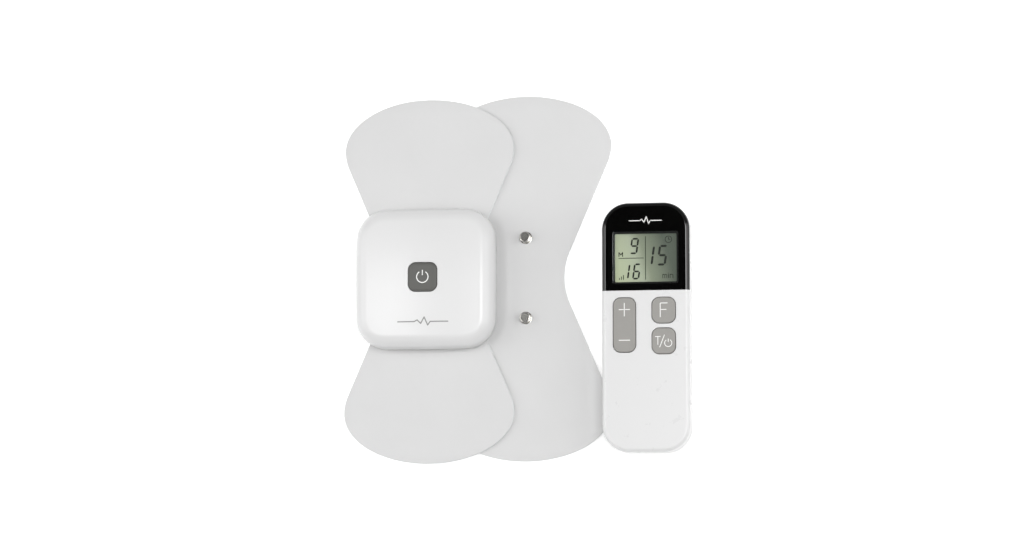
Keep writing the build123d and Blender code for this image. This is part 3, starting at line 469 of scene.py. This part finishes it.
# Liquid-crystal segments: a dense green-black. They are inside the glass, so they have almost no gloss.
CRYSTAL_INK = Finish("liquid_crystal_segment", "#0E110A", 0.12, 0.3, 0.0005, drift=0.05, drift_mm=1, ior=1.12)
CRYSTAL_FAINT = Finish("liquid_crystal_faint", "#2B3327", 0.12, 0.3, 0.0005, drift=0.05, drift_mm=1, ior=1.12)
REFLECTOR = Finish("white_diffusing_film", "#E6E7E1", 0.3, 1.0)
ZEBRA = Finish("layered_conductive_silicone", "#CDB9B0", 0.6, 0.3)
BLACK_FOAM = Finish("black_polyurethane_foam", "#1D1D1D", 0.95, 0.4, 0.04)
FOAM_TAPE = Finish("acrylic_foam_tape", "#E5E5DD", 0.8, 0.5, 0.03)
POUCH_FOIL = Finish("laminated_pouch_foil", "#B6B9BB", 0.32, 4.0, 0.05, metallic=1.0)
BOARD = CircuitLaminate("solder_masked_laminate", "#23592F", 0.35, 0.5, 0.01)
NYLON = Finish("moulded_nylon_black", "#1B1B1D", 0.45, 0.4)
FERRITE = Finish("sintered_ferrite", "#2F2D2B", 0.55, 0.3, 0.02)
CHIP_EPOXY = Finish("moulded_chip_epoxy", "#18181A", 0.5, 0.2, 0.006)
CERAMIC = Finish("glazed_ceramic", "#E0D9C8", 0.2, 1.0)
LED_EPOXY = Finish("clear_led_epoxy", "#D5ECD5", 0.1, 1.0, alpha=0.7)
SLEEVE = PrintedSleeve("printed_shrink_sleeve", "#3C4A57", 0.25, 2.0, 0.01, band_y=-48.0)

DRESS: dict[Finish, tuple[str, ...]] = {
    CARBON_FILM: (
        "spare_pad_upper_film",
        "spare_pad_lower_film",
        "front_pad_upper_film",
        "front_pad_lower_film",
    ),
    NICKEL: (
        "spare_pad_studs",
        "spare_pad_eyelets",
        "front_pad_studs",
        "front_pad_eyelets",
        "receiver_snap_sockets",
        "receiver_contact_tabs",
        "remote_battery_plates",
    ),
    DRAWN_STEEL: ("receiver_charging_port", "receiver_snap_springs", "remote_battery_springs"),
    ZINC_STEEL: ("receiver_case_screws", "remote_case_screws"),
    RECEIVER_ABS: ("receiver_top_case",),
    RECEIVER_BASE_ABS: ("receiver_bottom_case",),
    REMOTE_ABS: ("remote_front_case",),
    REMOTE_BACK_ABS: ("remote_back_case", "remote_battery_door"),
    KEY_SILICONE: ("level_key_cap", "function_key_cap", "timer_key_cap"),
    POWER_SILICONE: ("power_key_cap",),
    MAT_SILICONE: ("remote_keypad_mat",),
    CARBON_PILL: ("level_key_pills", "function_key_pill", "timer_key_pill"),
    BLACK_ACRYLIC: ("remote_display_fascia",),
    CLEAR_ACRYLIC: ("remote_display_lens",),
    REFLECTOR: ("remote_lcd_reflector",),
    ZEBRA: ("remote_zebra_strips",),
    BLACK_FOAM: ("remote_display_gasket",),
    FOAM_TAPE: ("receiver_battery_tape",),
    POUCH_FOIL: ("receiver_battery_cell",),
    BOARD: ("receiver_main_board", "remote_circuit_board"),
    NYLON: ("receiver_power_switch", "power_switch_plunger", "remote_buzzer"),
    FERRITE: ("receiver_boost_transformer",),
    CHIP_EPOXY: ("receiver_processor_chips", "remote_processor"),
    CERAMIC: ("receiver_antenna",),
    LED_EPOXY: ("receiver_status_led",),
    SLEEVE: ("remote_left_cell", "remote_right_cell"),
}


# ------------------------------------------------------------------ shared mesh work
def make_piece(name: str, shape: bmesh.types.BMesh, finish: Finish, body: str) -> bpy.types.Object:
    """Turn a bmesh in millimetres into a finished piece that rides on a CAD body.

    Args:
        name: The piece's name.
        shape: Its mesh, in millimetres, which is freed.
        finish: What it is made of.
        body: The CAD body that it rides on.

    Returns:
        The new object.
    """
    bmesh.ops.scale(shape, vec=(MM, MM, MM), verts=shape.verts)
    mark_soft_edges(shape)
    mesh = bpy.data.meshes.new(name)
    shape.to_mesh(mesh)
    shape.free()
    piece = bpy.data.objects.new(name, mesh)
    bpy.context.scene.collection.objects.link(piece)
    mesh.materials.append(finish.material())
    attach(piece, body)
    LOG.info("%s: %d faces, %s", name, len(mesh.polygons), finish.name)
    return piece


def mark_soft_edges(shape: bmesh.types.BMesh, limit_deg: float = 40.0) -> None:
    """Shade every face smooth, and keep as sharp the edges that turn more than a limit.

    Args:
        shape: The mesh.
        limit_deg: The angle past which an edge stays sharp.
    """
    for face in shape.faces:
        face.smooth = True
    for edge in shape.edges:
        if len(edge.link_faces) == 2:
            edge.smooth = edge.calc_face_angle(0.0) < math.radians(limit_deg)


class InkLayer:
    """A print: thin raised strokes that follow a surface."""

    def __init__(self, height: Height, thickness: float = 0.03) -> None:
        """Start an empty print over a surface, given as a height at each x and y."""
        self.height = height
        self.thickness = thickness
        self.shape = bmesh.new()

    def bar(self, start: Point, end: Point, width: float, pieces: int = 4) -> None:
        """Add a straight stroke.

        Args:
            start: One end.
            end: The other end.
            width: The stroke's width.
            pieces: How many lengths it is divided into, so that it can follow a curved surface.
        """
        run = Vector((end[0] - start[0], end[1] - start[1], 0))
        middle = Vector(((start[0] + end[0]) / 2, (start[1] + end[1]) / 2, 0))
        turn = Matrix.Rotation(math.atan2(run.y, run.x), 4, "Z")
        size = Matrix.Diagonal((run.length, width, self.thickness, 1))
        place = Matrix.Translation(middle) @ turn @ size
        made = bmesh.ops.create_cube(self.shape, size=1.0, matrix=place)
        long_edges = [
            edge
            for edge in {edge for vert in made["verts"] for edge in vert.link_edges}
            if abs((edge.verts[1].co - edge.verts[0].co).dot(run)) > 0.9 * run.length**2
        ]
        bmesh.ops.subdivide_edges(self.shape, edges=long_edges, cuts=pieces - 1, use_grid_fill=True)

    def line(self, points: list[Point], width: float) -> None:
        """Add strokes from point to point, rounded where they meet.

        Args:
            points: The points.
            width: The stroke's width.
        """
        for start, end in zip(points, points[1:]):
            self.bar(start, end, width, pieces=2)
        for point in points:
            self.dot(point, width / 2)

    def dot(self, centre: Point, radius: float, sides: int = 12) -> None:
        """Add a round spot, or with four sides a diamond."""
        place = Matrix.Translation((centre[0], centre[1], -self.thickness / 2))
        made = bmesh.ops.create_circle(self.shape, cap_ends=True, segments=sides, radius=radius, matrix=place)
        faces = list({face for vert in made["verts"] for face in vert.link_faces})
        self.raise_faces(faces)

    def raise_faces(self, faces: list[bmesh.types.BMFace]) -> None:
        """Give flat faces the print's thickness."""
        grown = bmesh.ops.extrude_face_region(self.shape, geom=faces)
        verts = [item for item in grown["geom"] if isinstance(item, bmesh.types.BMVert)]
        bmesh.ops.translate(self.shape, vec=(0, 0, self.thickness), verts=verts)

    def arc(self, centre: Point, radius: float, width: float, start_deg: float, sweep_deg: float) -> None:
        """Add a curved stroke.

        Args:
            centre: The arc's centre.
            radius: The radius of the stroke's middle.
            width: The stroke's width.
            start_deg: Where it starts, anticlockwise from +x.
            sweep_deg: How far it turns.
        """
        start = math.radians(start_deg)
        ends = [
            self.shape.verts.new(
                (
                    centre[0] + reach * math.cos(start),
                    centre[1] + reach * math.sin(start),
                    -self.thickness / 2,
                )
            )
            for reach in (radius - width / 2, radius + width / 2)
        ]
        edge = self.shape.edges.new(ends)
        before = set(self.shape.faces)
        bmesh.ops.spin(
            self.shape,
            geom=[*ends, edge],
            cent=(centre[0], centre[1], 0),
            axis=(0, 0, 1),
            dvec=(0, 0, 0),
            angle=math.radians(sweep_deg),
            steps=max(int(abs(sweep_deg) / 9), 3),
            use_merge=abs(sweep_deg) >= 360,
        )
        self.raise_faces([face for face in self.shape.faces if face not in before])

    def slant(self, origin: Point, lean: float, since: int) -> None:
        """Lean the strokes that were added after a count of vertices, as italic figures do.

        Args:
            origin: A point on the line that stays put.
            lean: The shift in x for each unit of y.
            since: The count of vertices before them.
        """
        self.shape.verts.ensure_lookup_table()
        shear = Matrix.Identity(4)
        shear[0][1] = lean
        middle = Matrix.Translation((origin[0], origin[1], 0))
        verts = self.shape.verts[since:]
        bmesh.ops.transform(self.shape, matrix=middle @ shear @ middle.inverted(), verts=verts)

    def finish(self, name: str, finish: Finish, body: str, slot: str) -> bpy.types.Object:
        """Lay the print on its surface and make it a piece.

        Args:
            name: The piece's name.
            finish: The ink.
            body: The CAD body that it rides on.
            slot: Not used.

        Returns:
            The new object.
        """
        for vert in self.shape.verts:
            vert.co.z += self.height(vert.co.x, vert.co.y) + self.thickness / 2
        bmesh.ops.recalc_face_normals(self.shape, faces=self.shape.faces)
        return make_piece(name, self.shape, finish, body)


def middle_of(node: str) -> Point:
    """The centre of a CAD node in plan, in millimetres."""
    low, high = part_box(node)
    return (low.x + high.x) / 2 / MM, (low.y + high.y) / 2 / MM


def top_of(node: str) -> float:
    """The highest point of a CAD node, in millimetres."""
    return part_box(node)[1].z / MM


# ------------------------------------------------------------------ electrode pads
class Span(Enum):
    """How much of a pad's outline a sheet covers."""

    WHOLE = 0
    UPPER = 1
    LOWER = -1


@dataclass(frozen=True)
class Sheet:
    """One sheet of a pad's laminate."""

    name: str
    low: float
    high: float
    inset: float
    span: Span
    finish: Finish
    slot: str
    soft_edge: float


SHEETS = (
    Sheet("liner", 0.0, 0.2, 0.0, Span.WHOLE, LINER_FILM, "release_liner", 0.04),
    Sheet("upper_gel", 0.2, 1.0, 0.4, Span.UPPER, HYDROGEL, "hydrogel", 0.25),
    Sheet("lower_gel", 0.2, 1.0, 0.4, Span.LOWER, HYDROGEL, "hydrogel", 0.25),
    Sheet("cover", 1.15, 1.65, 0.0, Span.WHOLE, PAD_KNIT, "pad_fabric", 0.16),
)


@dataclass
class ElectrodePad:
    """An hourglass electrode pad, cut from a laminate of thin sheets."""

    prefix: str
    draped: bool
    length: float = 182.0
    width: float = 85.5
    waist: float = 38.5
    crown: float = 25.0
    waist_round: float = 33.0
    shoulder_round: float = 22.5
    electrode_gap: float = 14.0
    lap_rise: float = 1.7
    bend: tuple[float, float] = (-42.0, -9.0)
    cell: float = 5.0
    place: Point = field(init=False)

    def __post_init__(self) -> None:
        """Find the pad's centre from its CAD cover."""
        self.place = middle_of(f"{self.prefix}_cover")

    def outline(self, inset: float) -> bmesh.types.BMesh:
        """Draw the hourglass as one flat face.

        Args:
            inset: How far it stands in from the pad's edge.

        Returns:
            The flat face, centred on the origin.
        """
        half_width, half_waist = self.width / 2 - inset, self.waist / 2 - inset
        waist_round, shoulder_round = self.waist_round + inset, self.shoulder_round - inset
        crown, lobe = self.crown - inset, Vector((0, self.length / 2 - self.crown, 0))
        waist_centre = Vector((half_waist + waist_round, 0, 0))
        shoulder_centre = Vector((half_width - shoulder_round, lobe.y, 0))
        across = shoulder_centre - waist_centre
        lean = math.atan2(across.y, across.x) + math.acos((waist_round + shoulder_round) / across.length)
        normal = Vector((math.cos(lean), math.sin(lean), 0))
        shape = bmesh.new()
        last = shape.verts.new((half_waist, 0, 0))
        last = self.swing(shape, last, waist_centre, lean - math.pi, 18)
        step = bmesh.ops.extrude_vert_indiv(shape, verts=[last])["verts"][0]
        step.co = shoulder_centre - normal * shoulder_round
        last = self.swing(shape, step, shoulder_centre, math.pi - lean, 12)
        start = len(shape.verts)
        self.swing(shape, last, lobe, math.pi / 2, 30)
        shape.verts.ensure_lookup_table()
        flatten = Matrix.Translation(lobe) @ Matrix.Diagonal((1, crown / half_width, 1, 1))
        bmesh.ops.transform(shape, matrix=flatten @ Matrix.Translation(-lobe), verts=shape.verts[start:])
        for axis in ("X", "Y"):
            bmesh.ops.mirror(shape, geom=[*shape.verts, *shape.edges], merge_dist=1e-4, axis=axis)
        bmesh.ops.remove_doubles(shape, verts=shape.verts, dist=1e-3)
        bmesh.ops.contextual_create(shape, geom=shape.edges[:])
        return shape

    @staticmethod
    def swing(
        shape: bmesh.types.BMesh, start: bmesh.types.BMVert, centre: Vector, angle: float, steps: int
    ) -> bmesh.types.BMVert:
        """Draw an arc from a vertex about a centre.

        Args:
            shape: The mesh that gets the arc.
            start: The vertex that it starts from.
            centre: The arc's centre.
            angle: How far it turns, anticlockwise, in radians.
            steps: How many edges it has.

        Returns:
            The vertex at its far end.
        """
        swung = bmesh.ops.spin(
            shape, geom=[start], cent=centre, axis=(0, 0, 1), dvec=(0, 0, 0), angle=angle, steps=steps
        )
        return next(item for item in swung["geom_last"] if isinstance(item, bmesh.types.BMVert))

    def rise(self, x: float) -> float:
        """How high the pad lies at x from its centre line, where it laps over the other pad."""
        if not self.draped:
            return 0.0
        start, end = self.bend
        share = min(max((x - start) / (end - start), 0), 1)
        return self.lap_rise * share * share * (3 - 2 * share)

    def sheet(self, plan: Sheet) -> bpy.types.Object:
        """Cut one sheet and lay it in its place.

        Args:
            plan: Which sheet.

        Returns:
            The finished sheet.
        """
        shape = self.outline(plan.inset)
        if plan.span is not Span.WHOLE:
            self.cut(shape, (0, plan.span.value * self.electrode_gap / 2, 0), (0, plan.span.value, 0), True)
        rows, columns = int(self.length / self.cell), int(self.width / self.cell)
        for row in range(1, rows):
            self.cut(shape, (0, row * self.cell - self.length / 2, 0), (0, 1, 0), False)
        for column in range(1, columns):
            self.cut(shape, (column * self.cell - self.width / 2, 0, 0), (1, 0, 0), False)
        bmesh.ops.recalc_face_normals(shape, faces=shape.faces)
        flat = sum(face.calc_area() for face in shape.faces)
        bmesh.ops.solidify(shape, geom=shape.faces[:], thickness=plan.high - plan.low)
        bmesh.ops.recalc_face_normals(shape, faces=shape.faces)
        rim = [edge for edge in shape.edges if 1.3 < edge.calc_face_angle(0.0) < 1.8 and edge.is_manifold]
        bmesh.ops.bevel(
            shape,
            geom=rim,
            offset=plan.soft_edge,
            offset_type="OFFSET",
            segments=2,
            profile=0.5,
            affect="EDGES",
            material=-1,
        )
        lowest = min(vert.co.z for vert in shape.verts)
        for vert in shape.verts:
            vert.co.z += plan.low - lowest + self.rise(vert.co.x)
        bmesh.ops.translate(shape, vec=(self.place[0], self.place[1], 0), verts=shape.verts)
        name = f"{self.prefix}_{plan.name}_sheet"
        piece = make_piece(name, shape, plan.finish, self.prefix)
        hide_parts(f"{self.prefix}_{plan.name}")
        return piece

    @staticmethod
    def cut(shape: bmesh.types.BMesh, place: tuple, normal: tuple, clear: bool) -> None:
        """Cut a mesh along a plane, and drop what is behind it if asked to."""
        geometry = [*shape.verts, *shape.edges, *shape.faces]
        bmesh.ops.bisect_plane(
            shape, geom=geometry, dist=1e-4, plane_co=place, plane_no=normal, clear_inner=clear
        )

    def build(self) -> list[bpy.types.Object]:
        """Make every sheet of the pad."""
        return [self.sheet(plan) for plan in SHEETS]


# ------------------------------------------------------------------ receiver
def pulse_line(width: float, height: float) -> list[Point]:
    """The points of a plain heartbeat trace, centred on the origin.

    Args:
        width: Its length.
        height: Its tallest swing.

    Returns:
        The points from left to right.
    """
    shape = [(-1, 0), (-0.34, 0), (-0.22, 0.36), (-0.08, -0.42), (0.06, 1), (0.2, -0.8), (0.3, 0), (1, 0)]
    return [(x * width / 2, y * height / 2) for x, y in shape]


def power_symbol(layer: InkLayer, centre: Point, radius: float, width: float) -> None:
    """Print an open ring with an upright bar in its gap.

    Args:
        layer: The print that gets it.
        centre: The ring's centre.
        radius: The radius of the ring's middle.
        width: The stroke's width.
    """
    gap_deg = 33
    layer.arc(centre, radius, width, 90 + gap_deg, 360 - 2 * gap_deg)
    layer.bar((centre[0], centre[1] + 0.28 * radius), (centre[0], centre[1] + 1.2 * radius), width)


@dataclass
class Receiver:
    """The square receiver: its CAD cases with their printed marks."""

    crown_radius: float = 320.0
    height: float = 17.0
    symbol_radius: float = 2.85
    symbol_stroke: float = 0.5
    trace_size: Point = (25.0, 4.4)
    trace_below: float = 22.0
    trace_stroke: float = 0.55

    def top(self, x: float, y: float) -> float:
        """The height of the domed top at x and y."""
        centre_x, centre_y = middle_of("receiver_bottom_case")
        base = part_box("receiver_bottom_case")[0].z / MM
        reach = (x - centre_x) ** 2 + (y - centre_y) ** 2
        return base + self.height - self.crown_radius + math.sqrt(self.crown_radius**2 - reach)

    def build(self) -> list[bpy.types.Object]:
        """Print the power symbol on the key and the trace under it."""
        key = middle_of("power_key_cap")
        key_top = top_of("power_key_cap")
        symbol = InkLayer(lambda x, y: key_top)
        power_symbol(symbol, key, self.symbol_radius, self.symbol_stroke)
        trace = InkLayer(self.top)
        points = [(key[0] + x, key[1] - self.trace_below + y) for x, y in pulse_line(*self.trace_size)]
        trace.line(points, self.trace_stroke)
        return [
            symbol.finish("power_key_symbol", WHITE_INK, "power_key", "remote_shell"),
            trace.finish("receiver_pulse_mark", GREY_INK, "receiver", "receiver_base"),
        ]


# ------------------------------------------------------------------ remote
SEGMENTS = {
    "a": ((0, 1), (1, 1)),
    "b": ((1, 1), (1, 0.5)),
    "c": ((1, 0.5), (1, 0)),
    "d": ((0, 0), (1, 0)),
    "e": ((0, 0.5), (0, 0)),
    "f": ((0, 1), (0, 0.5)),
    "g": ((0, 0.5), (1, 0.5)),
}
FIGURES = {"1": "bc", "5": "acdfg", "6": "acdefg", "9": "abcdfg"}


@dataclass
class Display:
    """The remote's display: figures and marks on its glass."""

    window: Point = (30.3, 23.7)
    window_from_top: float = 27.1
    lean: float = 0.14
    figure_gap: float = 0.12

    def __post_init__(self) -> None:
        """Find the window's centre and the glass's top from the CAD nodes."""
        low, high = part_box("remote_front_case")
        self.centre = ((low.x + high.x) / 2 / MM, high.y / MM - self.window_from_top)
        self.level = top_of("remote_lcd_panel")

    def spot(self, across: float, down: float) -> Point:
        """A place on the window, from its left and top edges as shares of its size."""
        x = self.centre[0] + (across - 0.5) * self.window[0]
        return x, self.centre[1] + (0.5 - down) * self.window[1]

    def figure(self, layer: InkLayer, digit: str, left: float, top: float, size: Point, width: float) -> None:
        """Print one leaning seven-segment figure.

        Args:
            layer: The print that gets it.
            digit: The figure.
            left: Its left edge, as a share of the window.
            top: Its top edge, as a share of the window.
            size: Its width and height.
            width: The stroke's width.
        """
        left_x, top_y = self.spot(left, top)
        base_y = top_y - size[1]
        since = len(layer.shape.verts)
        for name in FIGURES[digit]:
            ends = [Vector((left_x + x * size[0], base_y + y * size[1])) for x, y in SEGMENTS[name]]
            run = (ends[1] - ends[0]).normalized() * (self.figure_gap + width / 2)
            tips = [tuple(ends[0] + run), tuple(ends[1] - run)]
            layer.bar(*tips, width, pieces=1)
            for tip in tips:
                layer.dot(tip, width / 2, sides=4)
        layer.slant((left_x, base_y + size[1] / 2), self.lean, since)

    def word(
        self,
        layer: InkLayer,
        strokes: list[list[Point]],
        across: float,
        down: float,
        size: Point,
        width: float = 0.3,
    ) -> None:
        """Print a small word or mark from its strokes.

        Args:
            layer: The print that gets it.
            strokes: Lines of points in a box one unit wide and high.
            across: The box's left edge, as a share of the window.
            down: The box's bottom edge, as a share of the window.
            size: The box's width and height.
            width: The stroke's width.
        """
        left, base = self.spot(across, down)
        for stroke in strokes:
            layer.line([(left + x * size[0], base + y * size[1]) for x, y in stroke], width)

    def build(self) -> list[bpy.types.Object]:
        """Print the display's figures and marks, and dress its glass."""
        corner = (self.centre[0] - self.window[0] / 2, self.centre[1] - self.window[1] / 2)
        glass = DisplayGlass(
            "reflective_display_glass", "#AEB7A0", 0.1, 0.3, 0.0005, corner=corner, size=self.window
        )
        paint(glass, "remote_lcd_panel")
        dark = InkLayer(lambda x, y: self.level, thickness=0.02)
        self.figure(dark, "9", 0.262, 0.099, (3.0, 7.1), 0.86)
        self.figure(dark, "1", 0.13, 0.629, (2.7, 7.0), 0.86)
        self.figure(dark, "6", 0.303, 0.629, (2.7, 7.0), 0.86)
        self.figure(dark, "1", 0.495, 0.257, (3.5, 9.1), 1.05)
        self.figure(dark, "5", 0.708, 0.257, (3.5, 9.1), 1.05)
        minute = [
            [(0.0, 0.0), (0.0, 0.75)],
            [(0.0, 0.62), (0.1, 0.75), (0.2, 0.62), (0.2, 0.0)],
            [(0.2, 0.62), (0.3, 0.75), (0.4, 0.62), (0.4, 0.0)],
            [(0.56, 0.0), (0.56, 0.75)],
            [(0.56, 0.97), (0.56, 1.0)],
            [(0.72, 0.0), (0.72, 0.75)],
            [(0.72, 0.6), (0.86, 0.75), (1.0, 0.6), (1.0, 0.0)],
        ]
        self.word(dark, minute, 0.77, 0.92, (5.0, 2.4))
        mode = [[(0, 0), (0, 1), (0.5, 0.4), (1, 1), (1, 0)]]
        self.word(dark, mode, 0.062, 0.46, (1.8, 1.9), 0.42)
        clock = self.spot(0.865, 0.12)
        dark.arc(clock, 1.6, 0.3, 0, 360)
        dark.bar(clock, (clock[0], clock[1] + 1.2), 0.3)
        dark.bar(clock, (clock[0] + 0.9, clock[1]), 0.3)
        faint = InkLayer(lambda x, y: self.level, thickness=0.02)
        faint.bar(self.spot(0.492, 0.05), self.spot(0.492, 0.95), 0.4)
        faint.bar(self.spot(0.055, 0.5), self.spot(0.462, 0.5), 0.36)
        for step in range(3):
            foot = self.spot(0.07 + 0.032 * step, 0.945)
            faint.bar(foot, (foot[0], foot[1] + 0.9 + 0.7 * step), 0.42)
        return [
            dark.finish("display_figures", CRYSTAL_INK, "remote", "fascia_black"),
            faint.finish("display_rules", CRYSTAL_FAINT, "remote", "fascia_black"),
        ]


@dataclass
class Remote:
    """The hand-held remote: its CAD cases and keys with their printed legends."""

    legend_stroke: float = 0.42
    plus_size: Point = (5.5, 6.6)
    level_reach: float = 7.5
    letter_size: Point = (3.6, 6.9)
    trace_size: Point = (16.0, 4.0)
    trace_from_top: float = 9.0

    def flat(self, node: str) -> Height:
        """The flat top of a CAD node, as a height."""
        level = top_of(node)
        return lambda x, y: level

    def level_legend(self) -> bpy.types.Object:
        """Print plus and minus on the rocker."""
        x, y = middle_of("level_key_cap")
        layer = InkLayer(self.flat("level_key_cap"))
        wide, tall = self.plus_size
        plus_y, minus_y = y + self.level_reach, y - self.level_reach
        layer.bar((x - wide / 2, plus_y), (x + wide / 2, plus_y), self.legend_stroke)
        layer.bar((x, plus_y - tall / 2), (x, plus_y + tall / 2), self.legend_stroke)
        layer.bar((x - wide / 2, minus_y), (x + wide / 2, minus_y), self.legend_stroke)
        return layer.finish("level_key_legend", WHITE_INK, "level_rocker", "remote_shell")

    def function_legend(self) -> bpy.types.Object:
        """Print the letter F on the function key."""
        x, y = middle_of("function_key_cap")
        layer = InkLayer(self.flat("function_key_cap"))
        wide, tall = self.letter_size
        left, low, high = x - wide * 0.45, y - tall / 2, y + tall / 2
        layer.bar((left, low), (left, high), self.legend_stroke)
        layer.bar((left, high), (left + wide, high), self.legend_stroke)
        layer.bar((left, y + tall * 0.04), (left + wide * 0.85, y + tall * 0.04), self.legend_stroke)
        return layer.finish("function_key_legend", WHITE_INK, "function_key", "remote_shell")

    def timer_legend(self) -> bpy.types.Object:
        """Print T, a slash and the power symbol on the timer key."""
        x, y = middle_of("timer_key_cap")
        layer = InkLayer(self.flat("timer_key_cap"))
        stroke = self.legend_stroke * 0.85
        layer.bar((x - 4.2, y + 2.1), (x - 1.5, y + 2.1), stroke)
        layer.bar((x - 2.85, y + 2.1), (x - 2.85, y - 1.9), stroke)
        layer.bar((x - 2.0, y - 3.2), (x + 0.4, y + 3.0), stroke)
        power_symbol(layer, (x + 2.2, y - 1.1), 1.75, stroke)
        return layer.finish("timer_key_legend", WHITE_INK, "timer_key", "remote_shell")

    def fascia_mark(self) -> bpy.types.Object:
        """Print the plain trace at the top of the fascia."""
        low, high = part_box("remote_display_fascia")
        x, y = (low.x + high.x) / 2 / MM, high.y / MM - self.trace_from_top
        layer = InkLayer(self.flat("remote_display_fascia"))
        layer.line([(x + u, y + v) for u, v in pulse_line(*self.trace_size)], self.legend_stroke)
        return layer.finish("fascia_pulse_mark", WHITE_INK, "remote", "remote_shell")

    def build(self) -> list[bpy.types.Object]:
        """Print every legend, and build the display."""
        legends = [self.level_legend(), self.function_legend(), self.timer_legend(), self.fascia_mark()]
        return legends + Display().build()


# ------------------------------------------------------------------ studio
@dataclass
class Studio:
    """A white table under soft light, seen from above through a long lens."""

    aim: tuple[float, float, float] = (-0.8, 0.6, 0.0)
    lean_deg: Point = (8.5, 6.5)
    distance: float = 1568.0
    lens: float = 110.0
    table_size: Point = (12000.0, 12000.0)
    dome: float = 0.3
    top_place: tuple[float, float, float] = (0.0, 0.0, 1700.0)
    top_size: Point = (1500.0, 640.0)
    top_watts: float = 26.0
    side_reach: float = 1600.0
    side_height: float = 1050.0
    side_size: Point = (1150.0, 1600.0)
    side_watts: float = 12.0
    card_place: tuple[float, float, float] = (-120.0, 80.0, 1200.0)
    card_size: Point = (390.0, 640.0)

    def camera(self) -> bpy.types.Object:
        across, along = [math.tan(math.radians(angle)) for angle in self.lean_deg]
        away = Vector((across, -along, 1)).normalized()
        right = Vector((0, 1, 0)).cross(away).normalized()
        turn = Matrix((right, away.cross(right), away)).transposed()
        data = bpy.data.cameras.new("view_camera")
        data.lens = self.lens
        data.clip_start, data.clip_end = 0.01, 50
        camera = bpy.data.objects.new("view_camera", data)
        stand = (Vector(self.aim) + away * self.distance) * MM
        camera.matrix_world = Matrix.Translation(stand) @ turn.to_4x4()
        bpy.context.scene.collection.objects.link(camera)
        bpy.context.scene.camera = camera
        return camera

    def softbox(self, name: str, place: tuple[float, float, float], size: Point, watts: float) -> None:
        """Args:
            name: The light's name.
            place: Where its centre is.
            size: Its width and height.
            watts: Its power.
        """
        data = bpy.data.lights.new(name, "AREA")
        data.shape = "RECTANGLE"
        data.size, data.size_y = size[0] * MM, size[1] * MM
        data.energy = watts
        light = bpy.data.objects.new(name, data)
        light.location = Vector(place) * MM
        light.rotation_euler = Vector(place).to_track_quat("Z", "Y").to_euler()
        bpy.context.scene.collection.objects.link(light)

    def panel(self, name: str, place: tuple[float, float, float], size: Point, finish: Finish) -> None:
        """Lay a flat panel of the studio.

        Args:
            name: The panel's name.
            place: Its centre.
            size: Its width and length.
            finish: What it is made of.
        """
        shape = bmesh.new()
        bmesh.ops.create_grid(shape, x_segments=2, y_segments=2, size=0.5)
        bmesh.ops.scale(shape, vec=(size[0] * MM, size[1] * MM, 1), verts=shape.verts)
        bmesh.ops.translate(shape, vec=Vector(place) * MM, verts=shape.verts)
        self.stage_piece(name, shape, finish)

    @staticmethod
    def stage_piece(name: str, shape: bmesh.types.BMesh, finish: Finish) -> None:
        """Turn a bmesh in metres into a piece of the studio.

        Args:
            name: The piece's name.
            shape: Its mesh, which is freed.
            finish: What it is made of.
        """
        mesh = bpy.data.meshes.new(name)
        shape.to_mesh(mesh)
        shape.free()
        mesh.materials.append(finish.material())
        piece = bpy.data.objects.new(name, mesh)
        bpy.context.scene.collection.objects.link(piece)

    def build(self) -> None:
        """Set up the camera, the table, the lights and the view's tone."""
        self.camera()
        table = Finish(
            "backlit_opal_acrylic", "#F6F6F6", 0.7, 2.0, 0.002, drift=0.0, gloss_spread=0.02, glow=0.3
        )
        card = Finish("black_velvet_card", "#2A2A2A", 0.95, 2.0, 0.002, drift=0.0)
        self.panel("table_top", (0, 0, -0.05), self.table_size, table)
        self.panel("overhead_card", self.card_place, self.card_size, card)
        self.softbox("top_softbox", self.top_place, self.top_size, self.top_watts)
        for side, reach in (("left", -self.side_reach), ("right", self.side_reach)):
            self.softbox(f"{side}_softbox", (reach, 0, self.side_height), self.side_size, self.side_watts)
        world = bpy.data.worlds.new("soft_dome")
        world.use_nodes = True
        background = world.node_tree.nodes["Background"]
        background.inputs["Color"].default_value = (1, 1, 1, 1)
        background.inputs["Strength"].default_value = self.dome
        bpy.context.scene.world = world
        bpy.context.scene.view_settings.view_transform = "Standard"


def paint(finish: Finish, *nodes: str) -> None:
    """Give CAD nodes a finish."""
    for name in nodes:
        mesh = NODES[name].data
        mesh.materials.clear()
        mesh.materials.append(finish.material())


NODES: dict[str, bpy.types.Object] = {}


def main() -> None:
    """Load the frame, set up the studio, dress the CAD nodes and build each sub-assembly in order."""
    logging.basicConfig(level=logging.INFO, format="%(name)s: %(message)s")
    NODES.update(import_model()["nodes"])
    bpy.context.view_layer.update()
    Studio().build()
    for finish, nodes in DRESS.items():
        paint(finish, *nodes)
    for part in (ElectrodePad("spare_pad", False), ElectrodePad("front_pad", True), Receiver(), Remote()):
        pieces = part.build()
        LOG.info("%s: %s", type(part).__name__, ", ".join(piece.name for piece in pieces))


if __name__ == "__main__":
    main()
